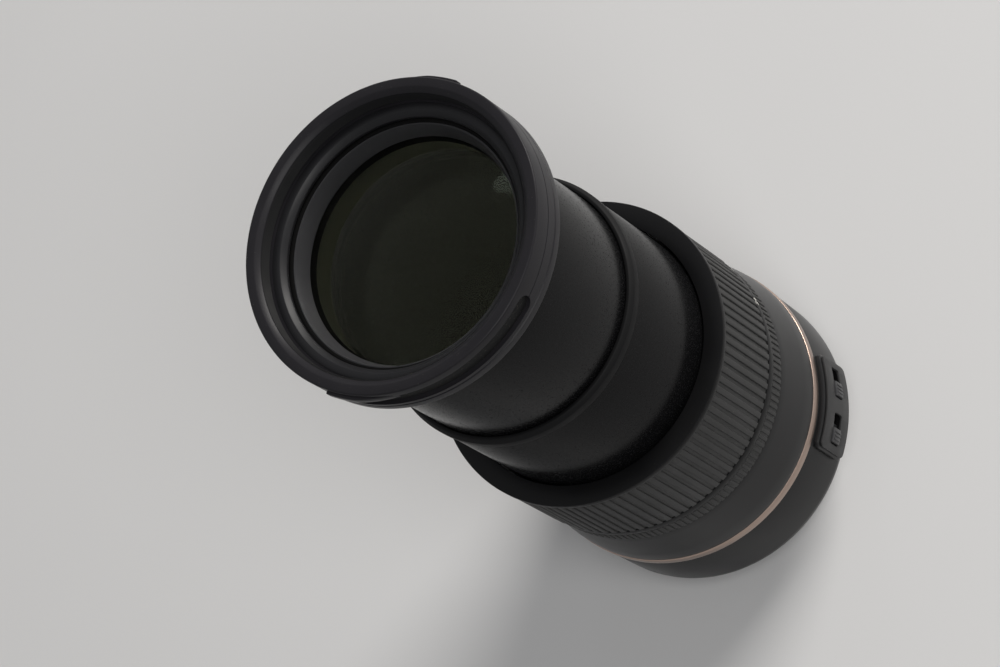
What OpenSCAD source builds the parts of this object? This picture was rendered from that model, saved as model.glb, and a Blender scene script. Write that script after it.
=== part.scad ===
// Zoom lens for an interchangeable-lens camera, drawn zoomed out to its long end.
// The optical axis is Z. Z = 0 is the mount's flange face and the front of the lens is up.
// The top of the lens, where the index marks are, is at -Y and the switch panel is at -X.

/* [Front ring] */
// Nominal diameter of the filter thread
filter_d = 77; // [67:0.5:82]
// Wall of the front rim around the filter thread
rim_wall = 4.2; // [3.8:0.1:4.6]
// Depth of the filter thread
filter_depth = 5.2; // [4:0.1:6.5]
// Length of the front ring
front_ring_len = 13.6; // [12.6:0.1:16]
// Radius of the rim's rounded outer edge
rim_round = 0.5; // [0.3:0.1:0.8]
// How far the hood lugs lie behind the rim's face
lug_set = 1.6; // [1.4:0.1:1.8]
// Height of the hood lugs above the front ring
lug_h = 0.9; // [0.7:0.1:1.2]
// Width of each hood lug along the axis
lug_w = 2.5; // [2:0.1:3]
// Angle that each hood lug takes up
lug_span = 12; // [8:1:16]
// Angle from the middle of the ring's side to the channel's open end, where the lug stands
lug_lead = 23; // [18:1:28]
// Angle from the middle of the ring's side to the channel's closed end
lug_trail = 63; // [55:1:66]
// Width of the milled channel that takes the hood's claws
hood_slot_w = 4.5; // [3.6:0.1:4.8]
// Depth of the milled channel
hood_slot_deep = 1; // [0.6:0.1:1.3]

/* [Tubes] */
// How far the front tube lies inside the filter thread
tube_step = 2.8; // [2.4:0.1:3.4]
// Wall of the front tube
front_wall = 1.5; // [1.3:0.1:1.7]
// Length of front tube that shows at the long end
front_out = 50.4; // [44:0.2:56]
// Length of front tube that still shows at the short end
front_left = 4.4; // [3:0.2:6]
// Wall of the middle tube
middle_wall = 1.55; // [1.4:0.05:1.8]
// Length of middle tube that shows at the long end
middle_out = 43.4; // [40:0.2:46]
// Length of middle tube that still shows at the short end
middle_left = 2.4; // [2:0.1:4]
// How far the middle tube's front lip stands proud of the tube
lip_step = 0.3; // [0.2:0.05:0.5]
// Length of the middle tube's front lip
lip_len = 4; // [3.6:0.2:5]
// Thickness of the felt seal
felt_t = 0.7; // [0.5:0.1:0.8]
// Gap between tubes and rings that slide or turn in each other
slide_gap = 0.35; // [0.3:0.05:0.45]
// Gap between pieces that are fixed in each other
seat_gap = 0.03; // [0.02:0.01:0.05]

/* [Zoom drive] */
// Turn of the zoom ring from the long end to the short end, in degrees
zoom_angle = 62; // [50:1:64]
// Width of the zoom ring
zoom_w = 34.8; // [32:0.2:38]
// Thickness of the zoom ring's front flange
zoom_flange = 2; // [1.6:0.1:2.6]
// How far the zoom ring's front flange stands proud of the ribs
flange_proud = 0.2; // [0.1:0.05:0.4]
// Wall of the zoom ring
ring_wall = 1; // [0.8:0.1:1.3]
// Length of the plain skirt behind the zoom ring's ribs
skirt_len = 3; // [2:0.2:4]
// Thickness of rubber under the ribs
grip_base = 0.4; // [0.3:0.05:0.6]
// Height of the ribs
rib_h = 0.55; // [0.4:0.05:0.7]
// Number of ribs on the zoom ring
rib_count = 96; // [72:1:110]
// Wall of the cam barrels
cam_wall = 1.9; // [1.7:0.1:2.1]
// Wall of the main barrel
main_wall = 1.25; // [1.1:0.05:1.5]
// Radius of the middle tube's followers
middle_pin_r = 1.8; // [1.5:0.1:2]
// Radius of the front tube's followers
front_pin_r = 1.5; // [1.2:0.1:1.7]
// Clearance beside each follower in its cam slot
pin_gap = 0.3; // [0.25:0.05:0.4]
// Width of the zoom ring's drive key
key_w = 6; // [5:0.5:7]
// Height of the zoom ring's drive key
key_h = 4; // [3:0.5:5]

/* [Body] */
// Width of the focus ring
focus_w = 5.6; // [5:0.2:8]
// Number of ribs on the focus ring
focus_ribs = 144; // [100:2:170]
// Length of the plain barrel behind the focus ring
band_len = 19.3; // [17:0.1:22]
// Radius that the plain barrel gains towards the rear
band_flare = 1.5; // [1:0.1:1.8]
// Width of the metal trim ring
trim_w = 3.2; // [2.4:0.2:4]
// How far the trim ring stands proud of the barrel
trim_proud = 0.25; // [0.1:0.05:0.4]
// Length of the rear barrel
rear_len = 20; // [19:0.5:24]
// Length of the tail between the rear barrel and the flange
tail_len = 10; // [9.5:0.5:12]
// Gap between the rings along the axis
ring_gap = 0.35; // [0.3:0.05:0.5]

/* [Mount] */
// Width of the mount's flange around the spigot
flange_land = 6.6; // [6:0.1:7.5]
// Thickness of the mount's flange
flange_t = 2.5; // [2:0.1:3]
// Outside diameter of the mount's spigot
spigot_d = 52; // [51:0.2:53]
// Wall of the spigot
spigot_wall = 1.7; // [1.5:0.1:2]
// Length of the spigot
spigot_len = 6; // [5.5:0.1:6.5]
// Height of the bayonet claws
claw_h = 1.3; // [1:0.1:1.5]
// Thickness of the bayonet claws
claw_t = 1.6; // [1.3:0.1:1.8]
// Angle of each bayonet claw
claw_angle = 55; // [45:1:62]
// Radius of the mount screws' shanks
screw_r = 1; // [0.8:0.05:1.1]
// Radius of the mount screws' heads
screw_head_r = 1.9; // [1.7:0.1:2.1]
// Number of electrical contacts
contact_count = 8; // [6:1:9]

/* [Switches] */
// Angle from the middle of a switch to the panel's edge
panel_margin = 9.5; // [9.2:0.1:12]
// Height of the switch panel above the rear barrel
panel_h = 2.2; // [2:0.1:2.6]
// Length of the switch panel along the axis
panel_len = 17; // [15:0.5:18]
// Thickness of the switch panel's cover plate
plate_t = 0.8; // [0.6:0.1:1]
// Wall between the two switches' pockets
switch_wall = 0.3; // [0.3:0.1:1]
// Size of a switch's button along the axis
button_w = 4.4; // [4:0.2:4.8]
// Travel of each switch
switch_travel = 4; // [3:0.2:4.2]

/* [Optics] */
// Width of the cell and retainer between the front tube and the clear glass
glass_margin = 3.2; // [2.9:0.1:4]
// Depth of the front glass's edge behind the rim
glass_deep = 13.8; // [13:0.1:16]
// Radius of curvature of the front element
front_curve = 120; // [110:5:160]
// Radius of the variator's elements
variator_r = 20; // [18:0.5:21]
// Radius of the focusing element
focus_glass_r = 13; // [12:0.2:13.4]
// Travel of the focusing group each way
focus_travel = 3; // [2:0.2:3.4]
// Room for the contacts between the rear element and the spigot
rear_margin = 9.3; // [8.8:0.1:10.5]

/* [Iris] */
// Distance of the blades' pivots from the core's wall
pivot_inset = 8.2; // [8:0.1:9]
// Width of a blade
blade_w = 4.8; // [4.4:0.1:5]
// Number of blades
blade_count = 7;
// Thickness of a blade
blade_t = 0.2; // [0.15:0.01:0.25]
// Step from one blade's level to the next
blade_step = 0.32; // [0.32:0.01:0.36]

/* [Hidden] */
$fn = 128;
cut = 0.05;
blade_names = [for (i = [1 : blade_count]) str("iris_blade_", i)];

// Radii, from the front tube outwards
bore_r = filter_d / 2;
rim_r = bore_r + rim_wall;
front_ro = bore_r - tube_step;
front_ri = front_ro - front_wall;
middle_ri = front_ro + slide_gap;
middle_ro = middle_ri + middle_wall;
lip_ro = middle_ro + lip_step;
cam_ri = lip_ro + slide_gap;
cam_ro = cam_ri + cam_wall;
main_ri = cam_ro + slide_gap;
main_ro = main_ri + main_wall;
ring_ri = main_ro + slide_gap;
ring_ro = ring_ri + ring_wall;
grip_root = ring_ro + grip_base;
grip_crest = grip_root + rib_h;
cover_ri = main_ro + seat_gap;
band_front_r = grip_root - 0.1;
band_rear_r = band_front_r + band_flare;

// Radii, from the front tube inwards
inner_cam_ro = front_ri - slide_gap - 0.15;
inner_cam_ri = inner_cam_ro - cam_wall;
sleeve_ro = inner_cam_ri - slide_gap;
sleeve_wall = 1.5;
sleeve_ri = sleeve_ro - sleeve_wall;
core_ro = sleeve_ri - 3 * slide_gap;
core_wall = 1.4;
core_ri = core_ro - core_wall;

// Radii of the mount
flange_r = spigot_d / 2 + flange_land;
spigot_ri = spigot_d / 2 - spigot_wall;
rear_glass_r = spigot_ri - rear_margin;
screw_place = spigot_d / 2 + flange_land / 2;
floor_ri = screw_place - screw_head_r - 0.3;

// Travels of the two tubes
middle_travel = middle_out - middle_left;
front_travel = front_out - front_left;

// Heights of the fixed barrel, from the flange up
floor_z = flange_t + 4.5;
base_z = floor_z + 2.5;
board_t = 1.2;
rear_top = tail_len + rear_len;
band_z = rear_top + trim_w;
focus_z = band_z + band_len + ring_gap;
zoom_z = focus_z + focus_w + ring_gap;
zoom_top = zoom_z + zoom_w;
main_top = zoom_top - zoom_flange - ring_gap;
cam_top = main_top - 0.5;
cam_z = base_z + board_t + 1;
key_z = cam_top - 6;

// Heights of the middle tube and its drive at the long end
middle_z = base_z + board_t + 1.8 + middle_travel;
lip_top = zoom_top + middle_out;
lip_z = lip_top - lip_len;
flange_stack = 1.5;
inner_cam_z = middle_z + flange_stack + 0.3;
inner_cam_flange = 3;
middle_pin_z = middle_z + 8;
front_z = inner_cam_z + inner_cam_flange + 1.2 + front_travel;
front_pin_z = front_z + 3;
inner_cam_top = front_pin_z + 5;
slot_end = middle_pin_r + 0.7;

// Heights of the front ring and front group
rim_z = lip_top + front_out + front_ring_len;
beauty_z = rim_z - filter_depth;
beauty_t = 2.4;
beauty_ro = bore_r - 0.9;
seat_z = beauty_z - beauty_t;
glass_z = rim_z - glass_deep;
front_glass_r = front_ri - glass_margin;
glass_seat_r = front_glass_r + 1.3;
cell_len = 20;
cell_z = glass_z - cell_len;

// Heights of the fixed core: focusing group and iris
core_ledge = base_z + 1.5;
rod_z = core_ledge + 1.5;
rod_len = 33;
focus_cell_rise = 13;
focus_cell_z = rod_z + focus_cell_rise;
focus_cell_len = 8;
iris_z = rod_z + rod_len;
iris_plate = 1.2;
iris_layers = iris_z + iris_plate + 0.3;
iris_ring_z = iris_layers + blade_count * blade_step + 0.3;
iris_ring_t = 1;
iris_lid_z = iris_ring_z + iris_ring_t + 0.3;
iris_lid_t = 0.9;
core_top = iris_lid_z + iris_lid_t;
variator_z = core_top + middle_travel + 5;

// Angles about the axis
follower_a = [for (k = [0 : 2]) 90 + 120 * k];
cam_key_a = 119;
zoom_key_a = 200;
switch_side = 180;

// Sizes of small pieces
rod_r = 1;
rod_place = core_ri - 2.6;
rod_fit = 0.05;
motor_r = 4;
motor_len = 11;
motor_place = core_ri - motor_r - 0.6;
lead_screw_r = 0.9;
pivot_place = core_ri - pivot_inset;
lever_len = 3.4;
pivot_r = 0.6;
drive_pin_r = 0.5;
blade_out = pivot_place - 2.1;
blade_in = blade_out - blade_w;
iris_open = blade_in - 0.4;
blade_tail = 98;
screw_head_t = 1.2;
screw_len = 5;
contact_place = spigot_ri - 3.3;
contact_r = 0.7;
panel_r = band_rear_r + panel_h;
panel_z = tail_len + (rear_len - panel_len) / 2;
switch_z = tail_len + rear_len / 2;
switch_base_t = 1.4;
switch_base_half = 4;
switch_base_x = panel_r - plate_t - 2.2;
switch_clear = 0.4;
pocket_x = switch_base_x - 0.3;
pocket_half = switch_base_half + switch_travel / 2 + switch_clear;
switch_angle = atan((pocket_half + switch_wall / 2) / pocket_x);
panel_half = switch_angle + panel_margin;

// A plain ring between two radii and two heights
module ring(ro, ri, z0, z1) {
    translate([0, 0, z0]) difference() {
        cylinder(r = ro, h = z1 - z0);
        translate([0, 0, -cut]) cylinder(r = ri, h = z1 - z0 + 2 * cut);
    }
}

// A part of a ring between two angles
module sector(r0, r1, z0, z1, a0, a1) {
    rotate([0, 0, a0]) rotate_extrude(angle = a1 - a0)
        translate([r0, z0]) square([r1 - r0, z1 - z0]);
}

// A round pin that points away from the axis
module radial_pin(r, r0, r1, z, a) {
    rotate([0, 0, a]) translate([r0, 0, z]) rotate([0, 90, 0]) cylinder(r = r, h = r1 - r0);
}

// A box that reaches from one radius to another, centred on an angle and a height
module radial_box(r0, r1, w, z0, z1, a) {
    rotate([0, 0, a]) translate([r0, -w / 2, z0]) cube([r1 - r0, w, z1 - z0]);
}

// Half the angle of a helical slot that passes a round pin
function slot_half(pin_r, travel, ri, ro) =
    let (lean = ro * zoom_angle * PI / 180 / travel)
    (pin_r + pin_gap) * sqrt(1 + lean * lean) / ri * 180 / PI;

// The space of a helical slot whose pin stands at height z and angle a at the long end
module helical_slot(ri, ro, pin_r, z, travel, a) {
    half = slot_half(pin_r, travel, ri, ro);
    lead = zoom_angle / travel;
    over = pin_r + 0.7;
    low = z - travel - over;
    high = z + over;
    r0 = ri - 1;
    r1 = ro + 1;
    translate([0, 0, low]) rotate([0, 0, a - lead * (z - low)])
        linear_extrude(height = high - low, twist = -lead * (high - low), slices = 24, $fn = 4)
            polygon([[r0 * cos(half), -r0 * sin(half)], [r1 * cos(half), -r1 * sin(half)],
                     [r1 * cos(half), r1 * sin(half)], [r0 * cos(half), r0 * sin(half)]]);
}

// A rubber sleeve with straight ribs along the axis
module ribbed_sleeve(ri, root, crest, count, z0, z1) {
    step = 360 / count;
    outline = [for (i = [0 : count - 1], e = [[-0.36, root], [-0.2, crest], [0.2, crest], [0.36, root]])
               let (a = step * (i + e[0])) [e[1] * cos(a), e[1] * sin(a)]];
    translate([0, 0, z0]) linear_extrude(height = z1 - z0) difference() {
        polygon(outline);
        circle(r = ri, $fn = 720);
    }
}

// A lens element: a disc whose front face bulges and whose rear face is hollow
module element(r, z, edge, front, rear) {
    front_sag = front - sqrt(front * front - r * r);
    translate([0, 0, z]) difference() {
        intersection() {
            cylinder(r = r, h = edge + front_sag + 1);
            translate([0, 0, edge + front_sag - front]) sphere(r = front);
        }
        translate([0, 0, -sqrt(rear * rear - r * r)]) sphere(r = rear - 0.4);
    }
}

// Fixed body

module main_barrel() {
    color("dimgray") difference() {
        union() {
            ring(main_ro, main_ri, floor_z, main_top);
            ring(main_ro, main_ri - 4, floor_z, base_z);
        }
        for (a = follower_a)
            radial_box(main_ri - 1, main_ro + 1, 2 * (middle_pin_r + pin_gap),
                       middle_pin_z - middle_travel - slot_end, middle_pin_z + slot_end, a);
        key_half = asin(key_w / 2 / main_ri) + 1;
        sector(main_ri - 0.2, main_ro + 1, key_z - key_h / 2 - 0.3, key_z + key_h / 2 + 0.3,
               zoom_key_a - key_half, zoom_key_a + zoom_angle + key_half);
    }
}

module scale_barrel() {
    color("#1c1c1e") rotate_extrude()
        polygon([[cover_ri, band_z], [band_rear_r, band_z], [band_rear_r, band_z + 4],
                 [band_front_r, band_z + band_len - 2], [band_front_r - 0.4, band_z + band_len],
                 [cover_ri, band_z + band_len]]);
}

module trim_ring() {
    edge = 0.4;
    r = band_rear_r + trim_proud;
    color("#b9a38d") rotate_extrude()
        polygon([[cover_ri, rear_top], [r - edge, rear_top], [r, rear_top + edge], [r, band_z - edge],
                 [r - edge, band_z], [cover_ri, band_z]]);
}

module rear_barrel() {
    end_r = flange_r + 0.8;
    edge_r = band_rear_r - 0.3;
    tail = [for (t = [0 : 15 : 90])
            [end_r + (edge_r - end_r) * sin(t), flange_t + (tail_len - flange_t) * (1 - cos(t))]];
    color("#1c1c1e") difference() {
        union() {
            rotate_extrude()
                polygon(concat([[floor_ri, flange_t]], tail,
                               [[band_rear_r, rear_top], [cover_ri, rear_top], [cover_ri, floor_z],
                                [floor_ri, floor_z]]));
            sector(cover_ri + 0.5, panel_r - plate_t - seat_gap, panel_z, panel_z + panel_len,
                   switch_side - panel_half, switch_side + panel_half);
        }
        for (a = [-switch_angle, switch_angle])
            rotate([0, 0, switch_side + a]) translate([pocket_x, 0, switch_z])
                switch_space(switch_base_t + 4, switch_base_half, 3);
        for (a = [45 : 90 : 315])
            rotate([0, 0, a]) translate([screw_place, 0, flange_t - cut])
                cylinder(r = screw_r + seat_gap, h = screw_len);
        rotate([0, 0, -90]) bead_place() cylinder(r = 1.5 + seat_gap, h = 3);
    }
}

// The room that a switch needs over its travel
module switch_space(deep, half_y, half_z) {
    y = half_y + switch_travel / 2 + switch_clear;
    translate([0, -y, -half_z - switch_clear]) cube([deep, 2 * y, 2 * (half_z + switch_clear)]);
}

// Where the mounting index sits on the tail
module bead_place() {
    translate([band_rear_r - 1.6, 0, tail_len + 5]) rotate([0, 90, 0]) children();
}

module switch_panel() {
    color("#242427") difference() {
        sector(panel_r - plate_t, panel_r, panel_z + 1, panel_z + panel_len - 1,
               switch_side - panel_half + 1, switch_side + panel_half - 1);
        for (a = [-switch_angle, switch_angle])
            rotate([0, 0, switch_side + a]) translate([panel_r - 3, 0, switch_z])
                switch_space(6, button_w / 2, button_w / 2);
    }
}

// A slide switch at rest, at one end of its travel
module slide_switch(a) {
    button_x = panel_r + 0.8;
    color("#2e2e31") rotate([0, 0, switch_side + a]) translate([0, -switch_travel / 2, switch_z]) union() {
        translate([switch_base_x, -switch_base_half, -3]) cube([switch_base_t, 2 * switch_base_half, 6]);
        translate([switch_base_x, -button_w / 2, -button_w / 2])
            cube([button_x - switch_base_x, button_w, button_w]);
    }
}

module focus_mode_switch() { slide_switch(-switch_angle); }

module focus_limit_switch() { slide_switch(switch_angle); }

module mount_plate() {
    ri = spigot_ri;
    color("silver") difference() {
        union() {
            ring(flange_r, ri, 0, flange_t);
            ring(spigot_d / 2, ri, -spigot_len, 0);
            for (a = [30, 150, 270])
                sector(spigot_d / 2 - 0.5, spigot_d / 2 + claw_h, -spigot_len, -spigot_len + claw_t,
                       a - claw_angle / 2, a + claw_angle / 2);
        }
        for (a = [45 : 90 : 315])
            rotate([0, 0, a]) translate([screw_place, 0, 0]) {
                translate([0, 0, -cut]) cylinder(r = screw_head_r + 0.1, h = screw_head_t + cut);
                cylinder(r = screw_r + 0.1, h = flange_t + cut);
            }
        rotate([0, 0, 10]) translate([screw_place, 0, -cut]) cylinder(r = 1.7, h = 1.5);
    }
}

module mount_screws() {
    color("gray") for (a = [45 : 90 : 315])
        rotate([0, 0, a]) translate([screw_place, 0, 0]) difference() {
            union() {
                translate([0, 0, 0.15]) cylinder(r = screw_head_r, h = screw_head_t - 0.15);
                translate([0, 0, 0.15]) cylinder(r = screw_r, h = screw_len);
            }
            for (t = [0, 90])
                rotate([0, 0, t]) translate([-1.2, -0.22, -cut]) cube([2.4, 0.44, 0.75]);
        }
}

module index_bead() {
    color("#a8231d") rotate([0, 0, -90]) bead_place() cylinder(r = 1.5, h = 1.6);
}

module rear_baffle() {
    ro = spigot_ri - seat_gap;
    color("#151515") union() {
        ring(ro, rear_glass_r + 2.1, -1, 1);
        ring(ro, ro - 1.2, -spigot_len + 0.6, -1);
    }
}

module contact_block() {
    color("#1a1a1a") sector(rear_glass_r + 3.5, contact_place + 2, -spigot_len + 1, -1, 56, 124);
}

module contact_pins() {
    spread = 52;
    color("goldenrod") for (i = [0 : contact_count - 1])
        rotate([0, 0, 90 - spread / 2 + spread * i / (contact_count - 1)])
            translate([contact_place, 0, -spigot_len + 0.5]) cylinder(r = contact_r, h = 0.5);
}

module rear_cell() {
    color("#1a1a1a") union() {
        ring(rear_glass_r + 2, rear_glass_r + seat_gap, -2, rod_z);
        ring(rear_glass_r + 2, rear_glass_r - 1, -2, -1.2);
        ring(core_ri - seat_gap, rear_glass_r + 1.5, core_ledge, rod_z);
    }
}

module rear_element() {
    color("#20262a") element(rear_glass_r, -1.2, 4, 60, 80);
}

module core_barrel() {
    color("#222222") union() {
        ring(core_ro, core_ri, floor_z, core_top);
        ring(main_ri - 4.3, core_ri, floor_z, base_z);
        ring(core_ri + 0.2, core_ri - 3, base_z, core_ledge);
        ring(core_ri + 0.2, core_ri - 0.7, iris_z - 1.2, iris_z);
    }
}

module circuit_board() {
    color("darkgreen") difference() {
        ring(main_ri - 4.6, core_ro + 0.5, base_z, base_z + board_t);
        radial_box(core_ro, main_ri, 12, base_z - 1, base_z + board_t + 1, 30);
    }
}

module guide_rods() {
    color("silver") for (a = [90, 270])
        rotate([0, 0, a]) translate([rod_place, 0, rod_z]) cylinder(r = rod_r, h = iris_z - rod_z);
}

module focus_motor() {
    color("#6f7276") translate([motor_place, 0, rod_z]) union() {
        cylinder(r = motor_r, h = motor_len);
        cylinder(r = lead_screw_r, h = iris_z - rod_z - 0.4);
    }
}

module focus_cell() {
    arm_z = focus_cell_z + 2;
    arm_top = focus_cell_z + focus_cell_len - 2;
    color("#2a2a2a") difference() {
        union() {
            ring(focus_glass_r + 2, focus_glass_r - 1, focus_cell_z, focus_cell_z + focus_cell_len);
            for (a = [90, 270]) {
                radial_box(focus_glass_r + 1, rod_place, 4, arm_z, arm_top, a);
                rotate([0, 0, a]) translate([rod_place, 0, focus_cell_z]) cylinder(r = 2, h = focus_cell_len);
            }
            radial_box(focus_glass_r + 1, motor_place, 4, arm_z, arm_top, 0);
            translate([motor_place, 0, arm_z]) cylinder(r = 2.4, h = arm_top - arm_z);
        }
        translate([0, 0, focus_cell_z + 1])
            cylinder(r = focus_glass_r + seat_gap, h = focus_cell_len);
        for (a = [90, 270])
            rotate([0, 0, a]) translate([rod_place, 0, focus_cell_z - 1])
                cylinder(r = rod_r + rod_fit, h = focus_cell_len + 2);
        translate([motor_place, 0, arm_z - 1]) cylinder(r = lead_screw_r + 0.3, h = arm_top - arm_z + 2);
    }
}

module focus_element() {
    color("#20262a") element(focus_glass_r, focus_cell_z + 1, 3.5, 45, 60);
}

// Iris

module iris_base() {
    color("#242424") union() {
        ring(core_ri - seat_gap, iris_open, iris_z, iris_z + iris_plate);
        ring(core_ri - seat_gap, core_ri - 1.2, iris_z, iris_lid_z);
        ring(core_ri - 1, core_ri - 2, iris_z, iris_ring_z - 0.3);
        for (i = [0 : blade_count - 1])
            rotate([0, 0, 360 / blade_count * i]) translate([pivot_place, 0, iris_z])
                cylinder(r = pivot_r, h = iris_ring_z - iris_z - 0.2);
    }
}

module iris_cover() {
    color("#1a1a1a") ring(core_ri - seat_gap, iris_open + 4, iris_lid_z, iris_lid_z + iris_lid_t);
}

module iris_ring() {
    ro = core_ri - 1.5;
    color("#3a3a3a") difference() {
        ring(ro, pivot_place + 1.2, iris_ring_z, iris_ring_z + iris_ring_t);
        for (i = [0 : blade_count - 1])
            rotate([0, 0, 360 / blade_count * i])
                translate([pivot_place + lever_len - 1.4, -drive_pin_r - 0.14, iris_ring_z - 1])
                    cube([2.2, 2 * drive_pin_r + 0.28, iris_ring_t + 2]);
    }
}

module iris_blade(i) {
    z = iris_layers + blade_step * i;
    color("#303032") rotate([0, 0, 360 / blade_count * i]) union() {
        translate([0, 0, z]) linear_extrude(height = blade_t) difference() {
            union() {
                intersection() {
                    difference() {
                        circle(r = blade_out);
                        circle(r = blade_in);
                    }
                    polygon([[0, 0], [40, 0], [40, 40], [40 * cos(blade_tail), 40]]);
                }
                rotate(blade_tail) translate([(blade_in + blade_out) / 2, 0])
                    circle(r = (blade_out - blade_in) / 2 - 0.05);
                translate([blade_in + 1.2, -0.9]) square([pivot_place - blade_in - 1.2, 3.4]);
                translate([pivot_place, 0]) circle(r = 1.8);
                translate([pivot_place, -0.9]) square([lever_len, 1.8]);
                translate([pivot_place + lever_len, 0]) circle(r = 0.9);
            }
            translate([pivot_place, 0]) circle(r = pivot_r + 0.05);
        }
        translate([pivot_place + lever_len, 0, z])
            cylinder(r = drive_pin_r, h = iris_ring_z + iris_ring_t - z);
    }
}

// Zoom ring and its cam barrel

module zoom_ring() {
    skirt_r = grip_crest - 0.25;
    front_r = grip_crest + flange_proud;
    color("#1d1d1f") difference() {
        union() {
            rotate_extrude()
                polygon([[ring_ri, zoom_z], [skirt_r - 0.4, zoom_z], [skirt_r, zoom_z + 0.4],
                         [skirt_r, zoom_z + skirt_len], [ring_ro, zoom_z + skirt_len],
                         [ring_ro, zoom_top - zoom_flange], [front_r, zoom_top - zoom_flange],
                         [front_r, zoom_top - 0.25], [front_r - 0.25, zoom_top], [cam_ri, zoom_top],
                         [cam_ri, zoom_top - zoom_flange], [ring_ri, zoom_top - zoom_flange]]);
        }
        radial_box(ring_ri - 1, ring_ri + 0.5, key_w + 2 * seat_gap, key_z - key_h / 2 - seat_gap,
                   key_z + key_h / 2 + seat_gap, zoom_key_a);
    }
}

module zoom_grip() {
    color("#2b2b2d") ribbed_sleeve(ring_ro + seat_gap, grip_root, grip_crest, rib_count,
                                   zoom_z + skirt_len + 0.15, zoom_top - zoom_flange - 0.15);
}

module cam_barrel() {
    key_slot_half = 1.5 + pin_gap;
    color("#8a8d90") difference() {
        ring(cam_ro, cam_ri, cam_z, cam_top);
        for (a = follower_a)
            helical_slot(cam_ri, cam_ro, middle_pin_r, middle_pin_z, middle_travel, a);
        radial_box(cam_ri - 1, cam_ri + 1.2, 2 * key_slot_half, cam_z - 1, inner_cam_z + inner_cam_flange + 1,
                   cam_key_a);
        radial_box(cam_ri + 0.8, cam_ro + 1, key_w + 2 * seat_gap, key_z - key_h / 2 - seat_gap,
                   key_z + key_h / 2 + seat_gap, zoom_key_a);
    }
}

module zoom_key() {
    color("#8a8d90") radial_box(cam_ri + 0.95, ring_ri + 0.25, key_w, key_z - key_h / 2, key_z + key_h / 2,
                                zoom_key_a);
}

// Middle tube and what it carries

module middle_tube() {
    color("#1c1c1e") difference() {
        ring(middle_ro, middle_ri, middle_z, lip_z);
        for (a = follower_a)
            radial_pin(middle_pin_r + seat_gap, middle_ri - 1, middle_ro + 1, middle_pin_z, a);
        for (a = follower_a)
            radial_box(middle_ri - 1, middle_ri + 0.95, 2 * (front_pin_r + 0.15), middle_z + flange_stack + 3,
                       front_pin_z + front_pin_r + 1, a + 60);
        sector(middle_ri - 0.2, middle_ro + 0.5, inner_cam_z - 0.2, inner_cam_z + inner_cam_flange + 0.2,
               cam_key_a - 4, cam_key_a + zoom_angle + 4);
    }
}

module middle_lip() {
    groove = felt_t + 0.1;
    color("#202022") rotate_extrude()
        polygon([[middle_ri, lip_z], [lip_ro - 0.3, lip_z], [lip_ro, lip_z + 0.3], [lip_ro, lip_top - 1.3],
                 [lip_ro - 0.9, lip_top], [middle_ri + 0.3, lip_top], [middle_ri, lip_top - 0.3],
                 [middle_ri, lip_z + 3], [middle_ri + groove, lip_z + 3], [middle_ri + groove, lip_z + 1],
                 [middle_ri, lip_z + 1]]);
}

module middle_felt() {
    color("#101010") ring(middle_ri + felt_t, middle_ri - 0.05, lip_z + 1.1, lip_z + 2.9);
}

module middle_followers() {
    color("ivory") for (a = follower_a)
        radial_pin(middle_pin_r, middle_ri + 0.15, main_ro - 0.3, middle_pin_z, a);
}

module variator_cell() {
    plate = 1.5;
    color("#262628") union() {
        ring(middle_ri - seat_gap, sleeve_ri, middle_z, middle_z + flange_stack);
        ring(sleeve_ro, sleeve_ri, middle_z, inner_cam_top - 6);
        ring(sleeve_ro, variator_r - 2, variator_z, variator_z + plate);
        ring(variator_r + 2, variator_r + seat_gap, variator_z, variator_z + 6);
    }
}

module variator_element() {
    color("#20262a") element(variator_r, variator_z + 1.5, 3, 70, 40);
}

// Cam tube that turns inside the middle tube and drives the front tube
module inner_cam() {
    flange_top = inner_cam_z + inner_cam_flange;
    color("#9a9d9f") difference() {
        union() {
            ring(inner_cam_ro, inner_cam_ri, inner_cam_z, inner_cam_top);
            ring(middle_ri - slide_gap, inner_cam_ri, inner_cam_z, flange_top);
            radial_box(inner_cam_ro, cam_ri + 0.9, 3, inner_cam_z, flange_top, cam_key_a);
        }
        for (a = follower_a)
            helical_slot(inner_cam_ri, inner_cam_ro, front_pin_r, front_pin_z, front_travel, a + 60);
    }
}

// Front tube and front group

module front_tube() {
    color("#1c1c1e") difference() {
        ring(front_ro, front_ri, front_z, seat_z - 1.4);
        for (a = follower_a)
            radial_pin(front_pin_r + seat_gap, front_ri - 1, front_ro + 1, front_pin_z, a + 60);
    }
}

module front_followers() {
    color("ivory") for (a = follower_a)
        radial_pin(front_pin_r, inner_cam_ri + 0.1, middle_ri + 0.75, front_pin_z, a + 60);
}

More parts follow.
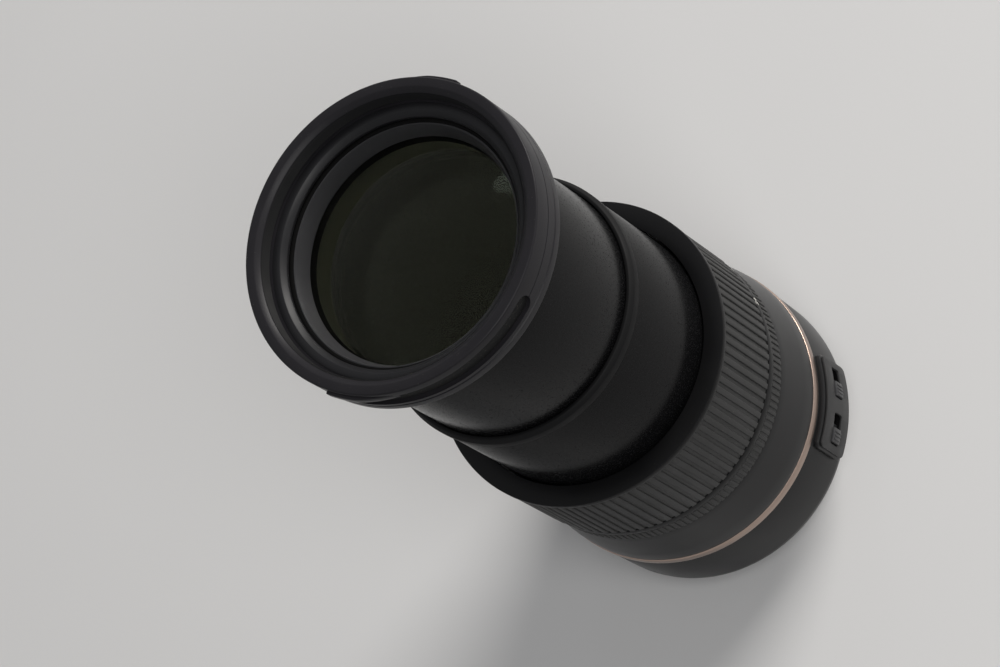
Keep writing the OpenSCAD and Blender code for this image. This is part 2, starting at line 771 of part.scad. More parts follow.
module filter_ring() {
    lip = 0.7;
    bevel = 1;
    end_z = rim_z - front_ring_len;
    lug_top = rim_z - lug_set;
    slot_top = lug_top - lug_w;
    slot_r = hood_slot_w / 2;
    turn = slot_r / rim_r * 180 / PI;
    lip_arc = [for (t = [0 : 15 : 90])
               [rim_r - rim_round * (1 - cos(t)), rim_z - rim_round * (1 - sin(t))]];
    color("#1a1a1c") union() {
        difference() {
            rotate_extrude()
                polygon(concat([[front_ro + seat_gap, end_z], [rim_r - bevel, end_z], [rim_r, end_z + bevel]],
                               lip_arc,
                               [[bore_r + lip, rim_z], [bore_r, rim_z - lip], [bore_r, beauty_z],
                                [beauty_ro + seat_gap, beauty_z], [beauty_ro + seat_gap, seat_z],
                                [front_ro + seat_gap, seat_z]]));
            for (a = [-90, 90]) intersection() {
                ring(rim_r + 2, rim_r - hood_slot_deep, end_z, rim_z);
                union() {
                    sector(rim_r - 2 * hood_slot_deep, rim_r + 3, slot_top - hood_slot_w, slot_top,
                           a - lug_lead - 1, a + lug_trail - turn);
                    // a hair narrower and further in than the channel's end, so that no edges merely touch
                    radial_pin(slot_r - 0.1, rim_r - 2 * hood_slot_deep, rim_r + 3, slot_top - slot_r,
                               a + lug_trail - turn - 0.4);
                }
            }
        }
        for (a = [-90, 90])
            sector(rim_r - 0.6, rim_r + lug_h, slot_top, lug_top, a - lug_lead, a - lug_lead + lug_span);
    }
}

module beauty_ring() {
    inner = front_ri - 0.2;
    color("#232325") rotate_extrude()
        polygon([[inner, seat_z], [beauty_ro, seat_z], [beauty_ro, beauty_z],
                 [inner + 1.4, beauty_z], [inner, beauty_z - 1.4]]);
}

module front_cell() {
    ro = front_ri - seat_gap;
    color("#161617") rotate_extrude()
        polygon([[glass_seat_r + 0.8, seat_z - 0.4], [ro, seat_z - 0.4], [ro, cell_z],
                 [front_glass_r - 3, cell_z],
                 [front_glass_r - 3, cell_z + 1.5], [front_glass_r - 1.5, cell_z + 1.5],
                 [front_glass_r - 1.5, glass_z - 7], [front_glass_r - 1, glass_z - 5],
                 [glass_seat_r, glass_z - 5], [glass_seat_r, glass_z], [glass_seat_r + 0.8, glass_z]]);
}

module front_retainer() {
    top = seat_z - 0.6;
    ro = glass_seat_r + 0.8 - seat_gap;
    bulge = (pow(glass_seat_r, 2) - pow(front_glass_r, 2)) / (2 * front_curve) + 0.1;
    color("#2a2a2c") rotate_extrude()
        polygon([[front_glass_r, glass_z + bulge], [glass_seat_r, glass_z], [ro, glass_z], [ro, top],
                 [ro - 0.4, top]]);
}

module front_element() {
    color("#10140f") element(glass_seat_r - seat_gap, glass_z - 5, 4.95, front_curve, 300);
}

module second_element() {
    color("#10140f") element(front_glass_r - 1.5 - seat_gap, cell_z + 1.5, 5, 90, 200);
}

// Focus ring

module focus_ring() {
    color("#1d1d1f") ring(ring_ro - 0.2, ring_ri, focus_z, focus_z + focus_w);
}

module focus_grip() {
    color("#2b2b2d") ribbed_sleeve(ring_ro - 0.2 + seat_gap, grip_root - 0.2, grip_root + 0.2, focus_ribs,
                                   focus_z, focus_z + focus_w);
}

main_barrel();
scale_barrel();
trim_ring();
rear_barrel();
switch_panel();
mount_plate();
mount_screws();
index_bead();
contact_block();
contact_pins();
rear_baffle();
rear_cell();
rear_element();
core_barrel();
circuit_board();
guide_rods();
focus_motor();
iris_base();
iris_cover();
zoom_ring();
zoom_grip();
cam_barrel();
zoom_key();
middle_tube();
middle_lip();
middle_felt();
middle_followers();
variator_cell();
variator_element();
inner_cam();
front_tube();
filter_ring();
beauty_ring();
front_cell();
front_retainer();
front_element();
second_element();
front_followers();
focus_ring();
focus_grip();
focus_cell();
focus_element();
iris_ring();
focus_mode_switch();
focus_limit_switch();
for (i = [0 : blade_count - 1])
    iris_blade(i);
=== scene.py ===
"""Zoom lens: the visual model over its CAD frame, in a plain pale studio.

Lengths are in millimetres until a piece is finished. The optical axis is Z, the mount's flange is at
Z = 0, the front of the lens is up, the lens's top side is -Y and its switches are at -X. An outline is
a list of corners (radius, height, rounding). Most outer sizes come from the CAD's boxes, and the rest,
such as walls, chamfers, trim and print, is written here.
"""
import math

import bmesh
import bpy
from mathutils import Matrix, Vector


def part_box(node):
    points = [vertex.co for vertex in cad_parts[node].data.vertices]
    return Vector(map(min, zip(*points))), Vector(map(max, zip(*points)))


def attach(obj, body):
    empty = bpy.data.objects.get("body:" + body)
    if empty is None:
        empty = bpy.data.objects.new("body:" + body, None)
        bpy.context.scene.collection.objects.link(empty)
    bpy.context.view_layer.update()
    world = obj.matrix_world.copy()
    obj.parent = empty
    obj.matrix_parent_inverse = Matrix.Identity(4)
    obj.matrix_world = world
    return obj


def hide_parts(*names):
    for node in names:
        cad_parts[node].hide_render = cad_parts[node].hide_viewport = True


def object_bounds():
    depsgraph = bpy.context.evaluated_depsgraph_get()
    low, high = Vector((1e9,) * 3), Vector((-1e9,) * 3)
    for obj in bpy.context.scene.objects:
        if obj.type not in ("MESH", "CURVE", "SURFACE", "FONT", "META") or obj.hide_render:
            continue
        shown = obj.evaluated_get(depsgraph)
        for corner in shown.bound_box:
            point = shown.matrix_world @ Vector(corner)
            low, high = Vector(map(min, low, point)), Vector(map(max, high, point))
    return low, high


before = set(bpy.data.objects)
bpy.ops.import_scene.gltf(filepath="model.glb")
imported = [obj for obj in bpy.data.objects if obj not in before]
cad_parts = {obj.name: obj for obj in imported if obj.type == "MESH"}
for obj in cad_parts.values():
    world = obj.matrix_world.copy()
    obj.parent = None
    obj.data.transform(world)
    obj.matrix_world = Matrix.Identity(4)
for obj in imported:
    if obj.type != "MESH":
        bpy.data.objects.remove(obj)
cad_box = [list(corner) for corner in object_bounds()]

MM = 0.001
# Directions around the axis, in degrees
TOP = -90
BOTTOM = 90
SIDE = 180
# Gap between two parts that fit in each other
FIT = 0.03


def extent(node):
    """A CAD node's outer radius, where it is round, and its lowest and highest level, to 0.01 mm."""
    low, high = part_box(node)
    return round(high.x / MM, 2), round(low.z / MM, 2), round(high.z / MM, 2)


# Materials

# The middle of a noise texture's range, where most of it lies
NOISE_SPAN = (0.3, 0.7)
# Dust: how soft a speck's edge is, how far it hides the finish below, and its roughness
DUST_EDGE = 0.05
DUST_COVER = 0.55
DUST_ROUGH = 0.9


def linear(code):
    """An sRGB hex colour as linear RGBA."""
    parts = [int(code[i:i + 2], 16) / 255 for i in (1, 3, 5)]
    return [p / 12.92 if p <= 0.04045 else ((p + 0.055) / 1.055) ** 2.4 for p in parts] + [1.0]


def per_mm(size):
    """A texture scale whose features are about this many millimetres across."""
    return 1 / (size * MM)


def add(tree, kind, inputs=None, **settings):
    """Adds a shader node with its settings; inputs are values, or sockets to link."""
    made = tree.nodes.new("ShaderNode" + kind)
    for key, value in settings.items():
        setattr(made, key, value)
    for key, value in (inputs or {}).items():
        if isinstance(value, bpy.types.NodeSocket):
            tree.links.new(value, made.inputs[key])
        else:
            made.inputs[key].default_value = value
    return made


def finish(name, low, high, patch, gloss, grain, depth, turned=False, dust=None, **sockets):
    """A finish whose tone and gloss drift over patch mm, with a relief of grain mm that is depth mm deep.

    A turned finish has its marks in circles around the lens axis. dust is (speck mm, share, colour).
    """
    made = bpy.data.materials.new(name)
    made.use_nodes = True
    tree = made.node_tree
    shader = tree.nodes["Principled BSDF"]
    place = add(tree, "TexCoord").outputs["Object"]
    marks = place
    if turned:
        flat = add(tree, "VectorMath", {0: place, 1: (1, 1, 0)}, operation="MULTIPLY").outputs[0]
        radius = add(tree, "VectorMath", {0: flat}, operation="LENGTH").outputs["Value"]
        height = add(tree, "SeparateXYZ", {0: place}).outputs["Z"]
        marks = add(tree, "CombineXYZ", {0: radius, 1: height}).outputs[0]
        tangent = add(tree, "Tangent", direction_type="RADIAL", axis="Z").outputs[0]
        tree.links.new(tangent, shader.inputs["Tangent"])
    drift = add(tree, "TexNoise", {"Vector": place, "Scale": per_mm(patch), "Detail": 3}).outputs[0]
    relief = add(tree, "TexNoise", {"Vector": marks, "Scale": per_mm(grain), "Detail": 2}).outputs[0]
    tone = add(tree, "Mix", {0: drift, 6: linear(low), 7: linear(high)}, data_type="RGBA").outputs[2]
    rough = add(tree, "MapRange", {"Value": drift, "From Min": NOISE_SPAN[0], "From Max": NOISE_SPAN[1],
                                   "To Min": gloss[0], "To Max": gloss[1]}).outputs[0]
    if dust:
        speck, share, colour = dust
        specks = add(tree, "TexNoise", {"Vector": place, "Scale": per_mm(speck), "Detail": 1}).outputs[0]
        lies = add(tree, "MapRange", {"Value": specks, "From Min": 1 - share,
                                      "From Max": 1 + DUST_EDGE - share,
                                      "To Min": 0.0, "To Max": DUST_COVER}).outputs[0]
        tone = add(tree, "Mix", {0: lies, 6: tone, 7: linear(colour)}, data_type="RGBA").outputs[2]
        rough = add(tree, "Mix", {0: lies, 2: rough, 3: DUST_ROUGH}).outputs[0]
    bump = add(tree, "Bump", {"Height": relief, "Strength": 1.0, "Distance": depth * MM}).outputs[0]
    tree.links.new(tone, shader.inputs["Base Color"])
    tree.links.new(rough, shader.inputs["Roughness"])
    tree.links.new(bump, shader.inputs["Normal"])
    for key, value in sockets.items():
        shader.inputs[key.replace("_", " ")].default_value = value
    return made


# Stoved satin lacquer on aluminium: nearly black, soft broad highlights, an eggshell grain, little dust.
# The real grain is about 0.1 mm and is drawn coarser to show.
satin_lacquer = finish("aluminium_satin_black_stoved_lacquer", "#0f0f10", "#141415", 14, (0.36, 0.44),
                       0.35, 0.006, dust=(0.4, 0.24, "#4a4845"), Specular_IOR_Level=0.12)
# Spark eroded black polycarbonate of the front ring: grainier and greyer than the lacquer, little dust
ring_plastic = finish("polycarbonate_front_ring_spark_textured", "#1e1d20", "#242326", 12, (0.32, 0.4),
                      0.4, 0.016, dust=(0.4, 0.25, "#5c5a56"), Specular_IOR_Level=0.12)
# The satin lacquer on the fixed barrels, polished by hands: a clearer highlight
barrel_lacquer = finish("aluminium_barrel_worn_black_lacquer", "#121213", "#171718", 14, (0.3, 0.37),
                        0.35, 0.006, dust=(0.4, 0.25, "#5c5a56"), Specular_IOR_Level=0.3)
# The satin lacquer on the sliding tubes: glossier, over a fine orange peel with dull specks
tube_lacquer = finish("aluminium_tube_satin_black_lacquer", "#0b0b0c", "#101011", 20, (0.18, 0.24),
                      0.45, 0.02, dust=(0.45, 0.4, "#1b1b1c"), Specular_IOR_Level=0.1)
# Moulded black polycarbonate on the floor of the hood's channels: painted darker than the front ring for the
# shade in the channels, dull, with grey specks of dust
channel_dust_and_painted_shade = finish("polycarbonate_moulded_dust_and_painted_shade", "#101011", "#161616", 3, (0.7, 0.8), 0.4, 0.01,
                     dust=(0.5, 0.34, "#4a4843"), Specular_IOR_Level=0.2)
# Flat black lacquer of the filter thread and the lip between the tubes: it throws hardly any light back
flat_lacquer = finish("aluminium_flat_black_lacquer", "#0c0c0d", "#101011", 9, (0.55, 0.65), 0.25, 0.004,
                      Specular_IOR_Level=0.12)
# Black anodised aluminium of the ring that holds the front glass: a matt, slightly lighter grey
matt_anodised = finish("aluminium_matt_black_anodised", "#2c2c2e", "#323234", 9, (0.38, 0.46), 0.25, 0.004,
                       Specular_IOR_Level=0.18)
# The same anodising on the inner trim ring, over a finer cut, painted darker for the shade in the recess
# behind the thread, with edges that catch the light
trim_anodised_painted_shade = finish("aluminium_fine_turned_anodised_painted_shade", "#1a1a1c", "#1f1f21", 9, (0.36, 0.44),
                       0.25, 0.003, Specular_IOR_Level=0.18)
# Black oxide on the glass cells, the inner cam and the rear baffle: a deep flat black
cell_black = finish("aluminium_cell_black_oxide", "#030303", "#050505", 9, (0.75, 0.9), 0.25, 0.004,
                    Specular_IOR_Level=0.1)
# Grey black paint on the front cell's wall, seen through the front glass: a dull olive grey
cell_grey = finish("aluminium_cell_grey_black_paint", "#3c3c37", "#42423d", 9, (0.75, 0.9), 0.25, 0.004,
                   Specular_IOR_Level=0.1)
# Moulded nitrile rubber: dark grey, matt, a faint bloom and a fine moulded skin
rubber = finish("nitrile_rubber_moulded", "#1a1a1b", "#232322", 11, (0.55, 0.68), 0.3, 0.01,
                dust=(0.6, 0.26, "#6f6b64"))
# Champagne anodised aluminium: a pale rosy metal with turning marks drawn out around the ring
champagne = finish("aluminium_turned_champagne_anodised", "#a08d82", "#ab988d", 12, (0.28, 0.36),
                   0.12, 0.002, turned=True, Metallic=1.0, Anisotropic=0.5)
# Chrome plated brass: cool bright metal that keeps the lathe's circles
chrome = finish("brass_turned_chrome_plated", "#b4b5b5", "#c3c4c4", 15, (0.18, 0.28), 0.15, 0.002,
                turned=True, Metallic=1.0, Anisotropic=0.4)
# Nickel plated steel of the screws and rods: a warmer, duller grey
nickel = finish("steel_nickel_plated", "#8f8d88", "#a09e99", 3, (0.25, 0.36), 0.2, 0.003, Metallic=1.0)
# Gold plated brass of the contacts: soft yellow metal
gold = finish("brass_gold_plated", "#c79a45", "#d2a955", 1, (0.22, 0.32), 0.1, 0.002, Metallic=1.0)
# Machined aluminium of the cam barrel: bright, slightly dull, with fine tool marks
bright_alloy = finish("aluminium_machined", "#9a9b9c", "#a9aaab", 8, (0.3, 0.42), 0.2, 0.003,
                      turned=True, Metallic=1.0)
# Spark eroded polycarbonate of the switch plate: a dark even frost
panel_plastic = finish("polycarbonate_spark_textured", "#1c1c1d", "#222223", 6, (0.48, 0.58), 0.35, 0.008)
# Moulded ABS of the switches: smoother and a touch greyer, so that they stand out on the plate
switch_plastic = finish("abs_moulded_smooth", "#29292b", "#303032", 4, (0.34, 0.42), 0.3, 0.003)
# Moulded acetal of the followers: waxy off-white
acetal = finish("acetal_moulded", "#d9d5c6", "#e4e0d3", 3, (0.35, 0.45), 0.3, 0.003)
# Glass filled polycarbonate inside the barrel: dull charcoal with a fine mottle
core_plastic = finish("polycarbonate_glass_filled", "#202021", "#29292a", 5, (0.5, 0.62), 0.4, 0.006)
# Wool felt of the seal: black, without any gloss, hairy
felt = finish("wool_felt_black", "#0c0c0d", "#191919", 1.5, (0.9, 1.0), 0.12, 0.05, Sheen_Weight=0.3)
# Solder mask on the epoxy board: dark glossy green
board = finish("epoxy_board_green_solder_mask", "#123a22", "#184a2c", 4, (0.25, 0.35), 0.5, 0.006)
# Blackened spring steel of the iris blades: thin, dark, slightly sheeny
blade_steel = finish("spring_steel_blackened", "#232324", "#2c2c2d", 4, (0.38, 0.48), 0.2, 0.002,
                     Metallic=0.6)
# Polished red acrylic of the mounting index: clear colour and a wet gloss
red_acrylic = finish("acrylic_red_polished", "#9c1d18", "#ab251e", 2, (0.12, 0.2), 0.4, 0.002,
                     Coat_Weight=0.4)
# White pad printed ink of the marks: chalky, with a slightly uneven tone
white_print = finish("ink_white_pad_printed", "#c9c7c1", "#d8d6d0", 0.6, (0.5, 0.6), 0.2, 0.004)
# Painted board of the floor: pale neutral grey, quite matt
floor_paint = finish("board_pale_grey_painted", "#d2d2d3", "#d6d6d7", 180, (0.8, 0.9), 1.5, 0.01)

# A thin film of haze on the glass: its patches in mm, the part of the noise that shows, and its roughness
FILM_PATCH = 25
FILM_SPAN = (0.35, 0.75)
FILM_ROUGH = (0.03, 0.05)


def coated_glass(name, tint, reflected, ior):
    """Optical glass with an anti-reflection coating: it shows what lies behind, and a weak tinted glint."""
    made = bpy.data.materials.new(name)
    made.use_nodes = True
    tree = made.node_tree
    shader = tree.nodes["Principled BSDF"]
    place = add(tree, "TexCoord").outputs["Object"]
    film = add(tree, "TexNoise", {"Vector": place, "Scale": per_mm(FILM_PATCH), "Detail": 2}).outputs[0]
    haze = add(tree, "MapRange", {"Value": film, "From Min": FILM_SPAN[0], "From Max": FILM_SPAN[1],
                                  "To Min": FILM_ROUGH[0], "To Max": FILM_ROUGH[1]}).outputs[0]
    tree.links.new(haze, shader.inputs["Roughness"])
    shader.inputs["Base Color"].default_value = linear(tint)
    shader.inputs["Specular Tint"].default_value = linear(reflected)
    shader.inputs["Transmission Weight"].default_value = 1.0
    shader.inputs["IOR"].default_value = ior
    return made


# Crown glass with a broad-band coating: the glint is olive and most light passes into the dark barrel
front_glass = coated_glass("crown_glass_multicoated_olive", "#e6e8da", "#5c5e4c", 1.6)
# Flint glass of the inner elements: a cooler glint, and a low index that keeps the mirror images faint
inner_glass = coated_glass("flint_glass_multicoated_violet", "#e3e6e2", "#87868f", 1.3)


# Modelling

# Steps of a full turn: most pieces, the front ring, glass, the index bead and small studs
STEPS = 192
RING_STEPS = 288
GLASS_STEPS = 128
BEAD_STEPS = 48
STUD_STEPS = 32
# Steps of the arcs that make a glass element's front and rear
FRONT_ARC = 20
REAR_ARC = 16
# A glass element's rear is hollowed this much less than its radius gives, which leaves a flat land
GLASS_LIP = 0.4
# Points closer than this become one
MERGE_WITHIN = 0.0005
# Segments of a rounding: one below the small size, a larger one, and a plate's corner
SMALL_ROUNDING = 0.3
SMALL_SEGMENTS = 2
LARGE_SEGMENTS = 4
CORNER_SEGMENTS = 5
# Edges are rounded from this angle and shaded sharp from the other, in degrees
ROUND_FROM = 35
SHARP_FROM = 28
# Rough length of a straight step in a plate that is bent around the axis
BEND_STEP = 1.2
# A plate's edge is a corner from this angle in radians, and a hole's if it lies this far inside
CORNER_FROM = 0.5
HOLE_INSET = 0.01


def everything(bm):
    """All the geometry of a shape."""
    return bm.verts[:] + bm.edges[:] + bm.faces[:]


def close(bm):
    """Merges doubles and points the faces outwards."""
    bmesh.ops.remove_doubles(bm, verts=bm.verts[:], dist=MERGE_WITHIN)
    bmesh.ops.recalc_face_normals(bm, faces=bm.faces[:])


def shift(bm, x, y, z):
    """Moves a shape."""
    bmesh.ops.translate(bm, vec=(x, y, z), verts=bm.verts)
    return bm


def swing(bm, angle, axis="Z"):
    """Turns a shape about the lens axis, or about X or Y, in degrees."""
    turned = Matrix.Rotation(math.radians(angle), 3, axis)
    bmesh.ops.rotate(bm, cent=(0, 0, 0), matrix=turned, verts=bm.verts)
    return bm


def split(bm, place, normal):
    """Divides a shape's faces along a plane."""
    bmesh.ops.bisect_plane(bm, geom=everything(bm), plane_co=place, plane_no=normal)


def spin(bm, geom, angle, steps, centre=(0, 0, 0), axis=(0, 0, 1), merge=False, copies=False):
    """Spins geometry through an angle in radians and gives the geometry at its end.

    merge closes a full turn, and copies makes separate copies in place of a surface.
    """
    return bmesh.ops.spin(bm, geom=geom, cent=centre, axis=axis, dvec=(0, 0, 0), angle=angle, steps=steps,
                          use_merge=merge, use_duplicate=copies)["geom_last"]


def bevel(bm, geom, width, segments, affect="EDGES", clamp=False):
    """Rounds edges, or the corners of an outline."""
    bmesh.ops.bevel(bm, geom=geom, offset=width, offset_type="OFFSET", segments=segments, profile=0.5,
                    affect=affect, clamp_overlap=clamp, material=-1)


def turn(outline, steps=STEPS):
    """A ring turned around the lens axis from an outline."""
    bm = bmesh.new()
    corners = [bm.verts.new((radius, 0, height)) for radius, height, _ in outline]
    for first, second in zip(corners, corners[1:] + corners[:1]):
        bm.edges.new((first, second))
    for rounding in sorted({corner[2] for corner in outline if corner[2]}):
        picked = [vert for vert, corner in zip(corners, outline) if corner[2] == rounding]
        segments = SMALL_SEGMENTS if rounding < SMALL_ROUNDING else LARGE_SEGMENTS
        bevel(bm, picked, rounding, segments, affect="VERTICES")
    spin(bm, bm.verts[:] + bm.edges[:], 2 * math.pi, steps, merge=True)
    close(bm)
    return bm


def tube(bore, outer, low, high, foot, head):
    """A plain tube, with its edges rounded at the foot and at the head."""
    return turn([(bore, low, foot), (outer, low, foot), (outer, high, head), (bore, high, head)])


def soften(bm, width):
    """Rounds every sharp edge of a shape."""
    close(bm)
    sharp = [edge for edge in bm.edges
             if edge.is_manifold and edge.calc_face_angle() > math.radians(ROUND_FROM)]
    bevel(bm, sharp, width, SMALL_SEGMENTS, clamp=True)
    return bm


def segment(inner, outer, low, high, start, end, rounding=0.25):
    """A part of a ring between two angles, with rounded edges."""
    bm = bmesh.new()
    corners = ((inner, 0, low), (outer, 0, low), (outer, 0, high), (inner, 0, high))
    face = bm.faces.new([bm.verts.new(corner) for corner in corners])
    swing(bm, start)
    steps = max(4, round((end - start) / 2))
    spin(bm, [face] + list(face.edges) + list(face.verts), math.radians(end - start), steps)
    return soften(bm, rounding)


def block(size, centre, rounding=0.0):
    """A box, with rounded edges if a rounding is given."""
    bm = bmesh.new()
    bmesh.ops.create_cube(bm, size=1)
    bmesh.ops.scale(bm, vec=size, verts=bm.verts)
    shift(bm, *centre)
    return soften(bm, rounding) if rounding else bm


def slab(width, length, low, high, corner, rounding=0.2, holes=()):
    """A flat plate with rounded corners; holes are (x, y, width, length, corner), all with one corner."""
    bm = bmesh.new()
    square = ((-1, -1), (1, -1), (1, 1), (-1, 1))
    bm.faces.new([bm.verts.new((x * width / 2, y * length / 2, low)) for x, y in square])
    for x, y, wide, long, _ in holes:
        for side in (-1, 1):
            split(bm, (x + side * wide / 2, 0, 0), (1, 0, 0))
        for side in (-1, 1):
            split(bm, (0, y + side * long / 2, 0), (0, 1, 0))
        gone = [face for face in bm.faces
                if abs(face.calc_center_median().x - x) < wide / 2
                and abs(face.calc_center_median().y - y) < long / 2]
        bmesh.ops.delete(bm, geom=gone, context="FACES")
    raised = bmesh.ops.extrude_face_region(bm, geom=bm.faces[:])["geom"]
    upper = [part for part in raised if isinstance(part, bmesh.types.BMVert)]
    bmesh.ops.translate(bm, vec=(0, 0, high - low), verts=upper)
    close(bm)
    upright = [edge for edge in bm.edges
               if abs(edge.verts[0].co.z - edge.verts[1].co.z) > (high - low) / 2
               and edge.calc_face_angle() > CORNER_FROM]
    inside = [edge for edge in upright
              if abs(edge.verts[0].co.x) < width / 2 - HOLE_INSET
              and abs(edge.verts[0].co.y) < length / 2 - HOLE_INSET]
    outside = [edge for edge in upright if edge not in inside]
    for edges, offset in ((outside, corner), (inside, holes[0][4] if holes else 0)):
        if edges and offset:
            bevel(bm, edges, offset, CORNER_SEGMENTS)
    return soften(bm, rounding)


def wrap(bm, radius, angle):
    """Bends a flat shape around the axis: x runs round, y runs along the axis, z stands off the radius."""
    reach = max(abs(vert.co.x) for vert in bm.verts)
    count = max(2, int(2 * reach / BEND_STEP))
    for index in range(1, count):
        split(bm, (-reach + 2 * reach * index / count, 0, 0), (1, 0, 0))
    for vert in bm.verts:
        turned = math.radians(angle) + vert.co.x / radius
        out = radius + vert.co.z
        vert.co = (out * math.cos(turned), out * math.sin(turned), vert.co.y)
    return bm


def lens_glass(radius, base, edge, front, rear):
    """A glass element: front and rear are the radii of its bulging front and its hollow rear."""
    bm = bmesh.new()
    bulge = front - math.sqrt(front ** 2 - radius ** 2)
    hollow = rear - GLASS_LIP
    low = base - math.sqrt(rear ** 2 - radius ** 2)
    meets = math.sqrt(hollow ** 2 - (base - low) ** 2)
    apex = bm.verts.new((0, 0, base + edge + bulge))
    rim = spin(bm, [apex], math.asin(radius / front), FRONT_ARC,
               centre=(0, 0, base + edge + bulge - front), axis=(0, 1, 0))[0]
    back = bm.verts.new((0, 0, low + hollow))
    inner = spin(bm, [back], math.asin(meets / hollow), REAR_ARC, centre=(0, 0, low), axis=(0, 1, 0))[0]
    foot = bm.verts.new((radius, 0, base))
    bm.edges.new((rim, foot))
    bm.edges.new((foot, inner))
    spin(bm, bm.verts[:] + bm.edges[:], 2 * math.pi, GLASS_STEPS, merge=True)
    close(bm)
    return bm


def repeat(bm, count, sweep=360.0):
    """Copies a shape around the axis, count times over the sweep in degrees."""
    gaps = count if sweep == 360.0 else count - 1
    spin(bm, everything(bm), math.radians(sweep / gaps * (count - 1)), count - 1, copies=True)
    return bm


def join(*shapes):
    """Puts several shapes in one mesh."""
    whole = shapes[0]
    for shape in shapes[1:]:
        spare = bpy.data.meshes.new("spare")
        shape.to_mesh(spare)
        shape.free()
        whole.from_mesh(spare)
        bpy.data.meshes.remove(spare)
    return whole


def cut(bm, *cutters):
    """Cuts closed shapes out of a shape."""
    def loose(shape, name):
        mesh = bpy.data.meshes.new(name)
        shape.to_mesh(mesh)
        shape.free()
        made = bpy.data.objects.new(name, mesh)
        bpy.context.scene.collection.objects.link(made)
        return made

    body = loose(bm, "cut_body")
    tools = [loose(cutter, "cut_tool") for cutter in cutters]
    for tool in tools:
        step = body.modifiers.new("cut", "BOOLEAN")
        step.operation = "DIFFERENCE"
        step.solver = "EXACT"
        step.object = tool
    mesh = bpy.data.meshes.new_from_object(body.evaluated_get(bpy.context.evaluated_depsgraph_get()))
    result = bmesh.new()
    result.from_mesh(mesh)
    for made in [body] + tools:
        data = made.data
        bpy.data.objects.remove(made)
        bpy.data.meshes.remove(data)
    bpy.data.meshes.remove(mesh)
    return result


def piece(name, bm, material, body, slot, *nodes):
    """Finishes a shape as a piece that rides on a body and stands for its CAD nodes."""
    bmesh.ops.scale(bm, vec=(MM, MM, MM), verts=bm.verts)
    mesh = bpy.data.meshes.new(name)
    bm.to_mesh(mesh)
    bm.free()
    mesh.shade_smooth()
    mesh.set_sharp_from_angle(angle=math.radians(SHARP_FROM))
    mesh.materials.clear()
    mesh.materials.append(material)
    made = bpy.data.objects.new(name, mesh)
    bpy.context.scene.collection.objects.link(made)
    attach(made, body)
    if nodes:
        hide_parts(*nodes)


# Front ring: filter thread inside, hood lugs and channels outside

RING_R, RING_LOW, RIM = extent("filter_ring")
INNER_TRIM_R, SEAT_LOW, SEAT_TOP = extent("beauty_ring")
RING_BORE = extent("front_tube")[0] + FIT
SEAT_R = INNER_TRIM_R + FIT
RING_CHAMFER = 1
# The rim's flat face ends at this radius, and a chamfer leads from there to the mouth of the thread
FACE_R = 40.1
MOUTH_R = 38.55
MOUTH_DEPTH = 1
# Turned lines in the flank: (height, half width), their depth, and the share of the width that is floor
FLANK_LINES = ((191.0, 0.38), (194.9, 0.18))
LINE_DEPTH = 0.35
LINE_FLOOR = 0.4
THREAD_R = 38.5
THREAD_DEPTH = 0.4
THREAD_TURNS = 5
PITCH = 0.75
FIRST_CREST = RIM - 1.55
# Lugs start at these angles and stand full for the sweep, then run out over the ramp, in degrees
LUG_STARTS = (-113, 67)
LUG_SWEEP = 12
LUG_RAMP = 16
LUG_FOOT_R = 42.1
LUG_R = 43.6
LUG_LOW = 196.9
LUG_TOP = 199.4
LUG_DROP = 1.0
# A channel starts a lead before each lug and sweeps on, in degrees; its floor rises over the slope
CHANNEL_LEAD = 1
CHANNEL_SWEEP = 87
CHANNEL_Z = 195.4
CHANNEL_W = 5.8
CHANNEL_R = 41.4
CHANNEL_CORNER = 2.7
CHANNEL_RISE = 1.25
CHANNEL_SLOPE = 2.0
# What stands lower than this above the channel's floor belongs to the floor
NEAR_FLOOR = 1


def turned_line(height, width):
    """Corners of a fine turned line in the front ring's flank."""
    floor_r = RING_R - LINE_DEPTH
    return [(RING_R, height - width, 0), (floor_r, height - LINE_FLOOR * width, 0),
            (floor_r, height + LINE_FLOOR * width, 0), (RING_R, height + width, 0)]


def channel_shape(lug_start, margin, low, high):
    """A shape that fills a hood channel, less a margin, between two heights above the channel's floor."""
    made = slab(math.radians(CHANNEL_SWEEP) * CHANNEL_R - 2 * margin, CHANNEL_W - 2 * margin, low, high,
                CHANNEL_CORNER - margin, rounding=0.02)
    flat_to = CHANNEL_W / 2 - CHANNEL_SLOPE
    split(made, (0, flat_to, 0), (0, 1, 0))
    for vert in made.verts:
        if vert.co.z < NEAR_FLOOR:
            vert.co.z += CHANNEL_RISE * max(0.0, vert.co.y - flat_to) / CHANNEL_SLOPE
    shift(made, 0, CHANNEL_Z, 0)
    return wrap(made, CHANNEL_R, lug_start - CHANNEL_LEAD + CHANNEL_SWEEP / 2)


def hood_lug(start):
    """A lug that stands square at the channel's open end and runs out in a ramp at its other end."""
    made = segment(LUG_FOOT_R, LUG_R, LUG_LOW, LUG_TOP, start, start + LUG_SWEEP + LUG_RAMP)
    for vert in made.verts:
        around = math.degrees(math.atan2(vert.co.y, vert.co.x)) - start - LUG_SWEEP
        sunk = 1 - max(0.0, around / LUG_RAMP) * LUG_DROP / LUG_R
        vert.co = (vert.co.x * sunk, vert.co.y * sunk, vert.co.z)
    return made


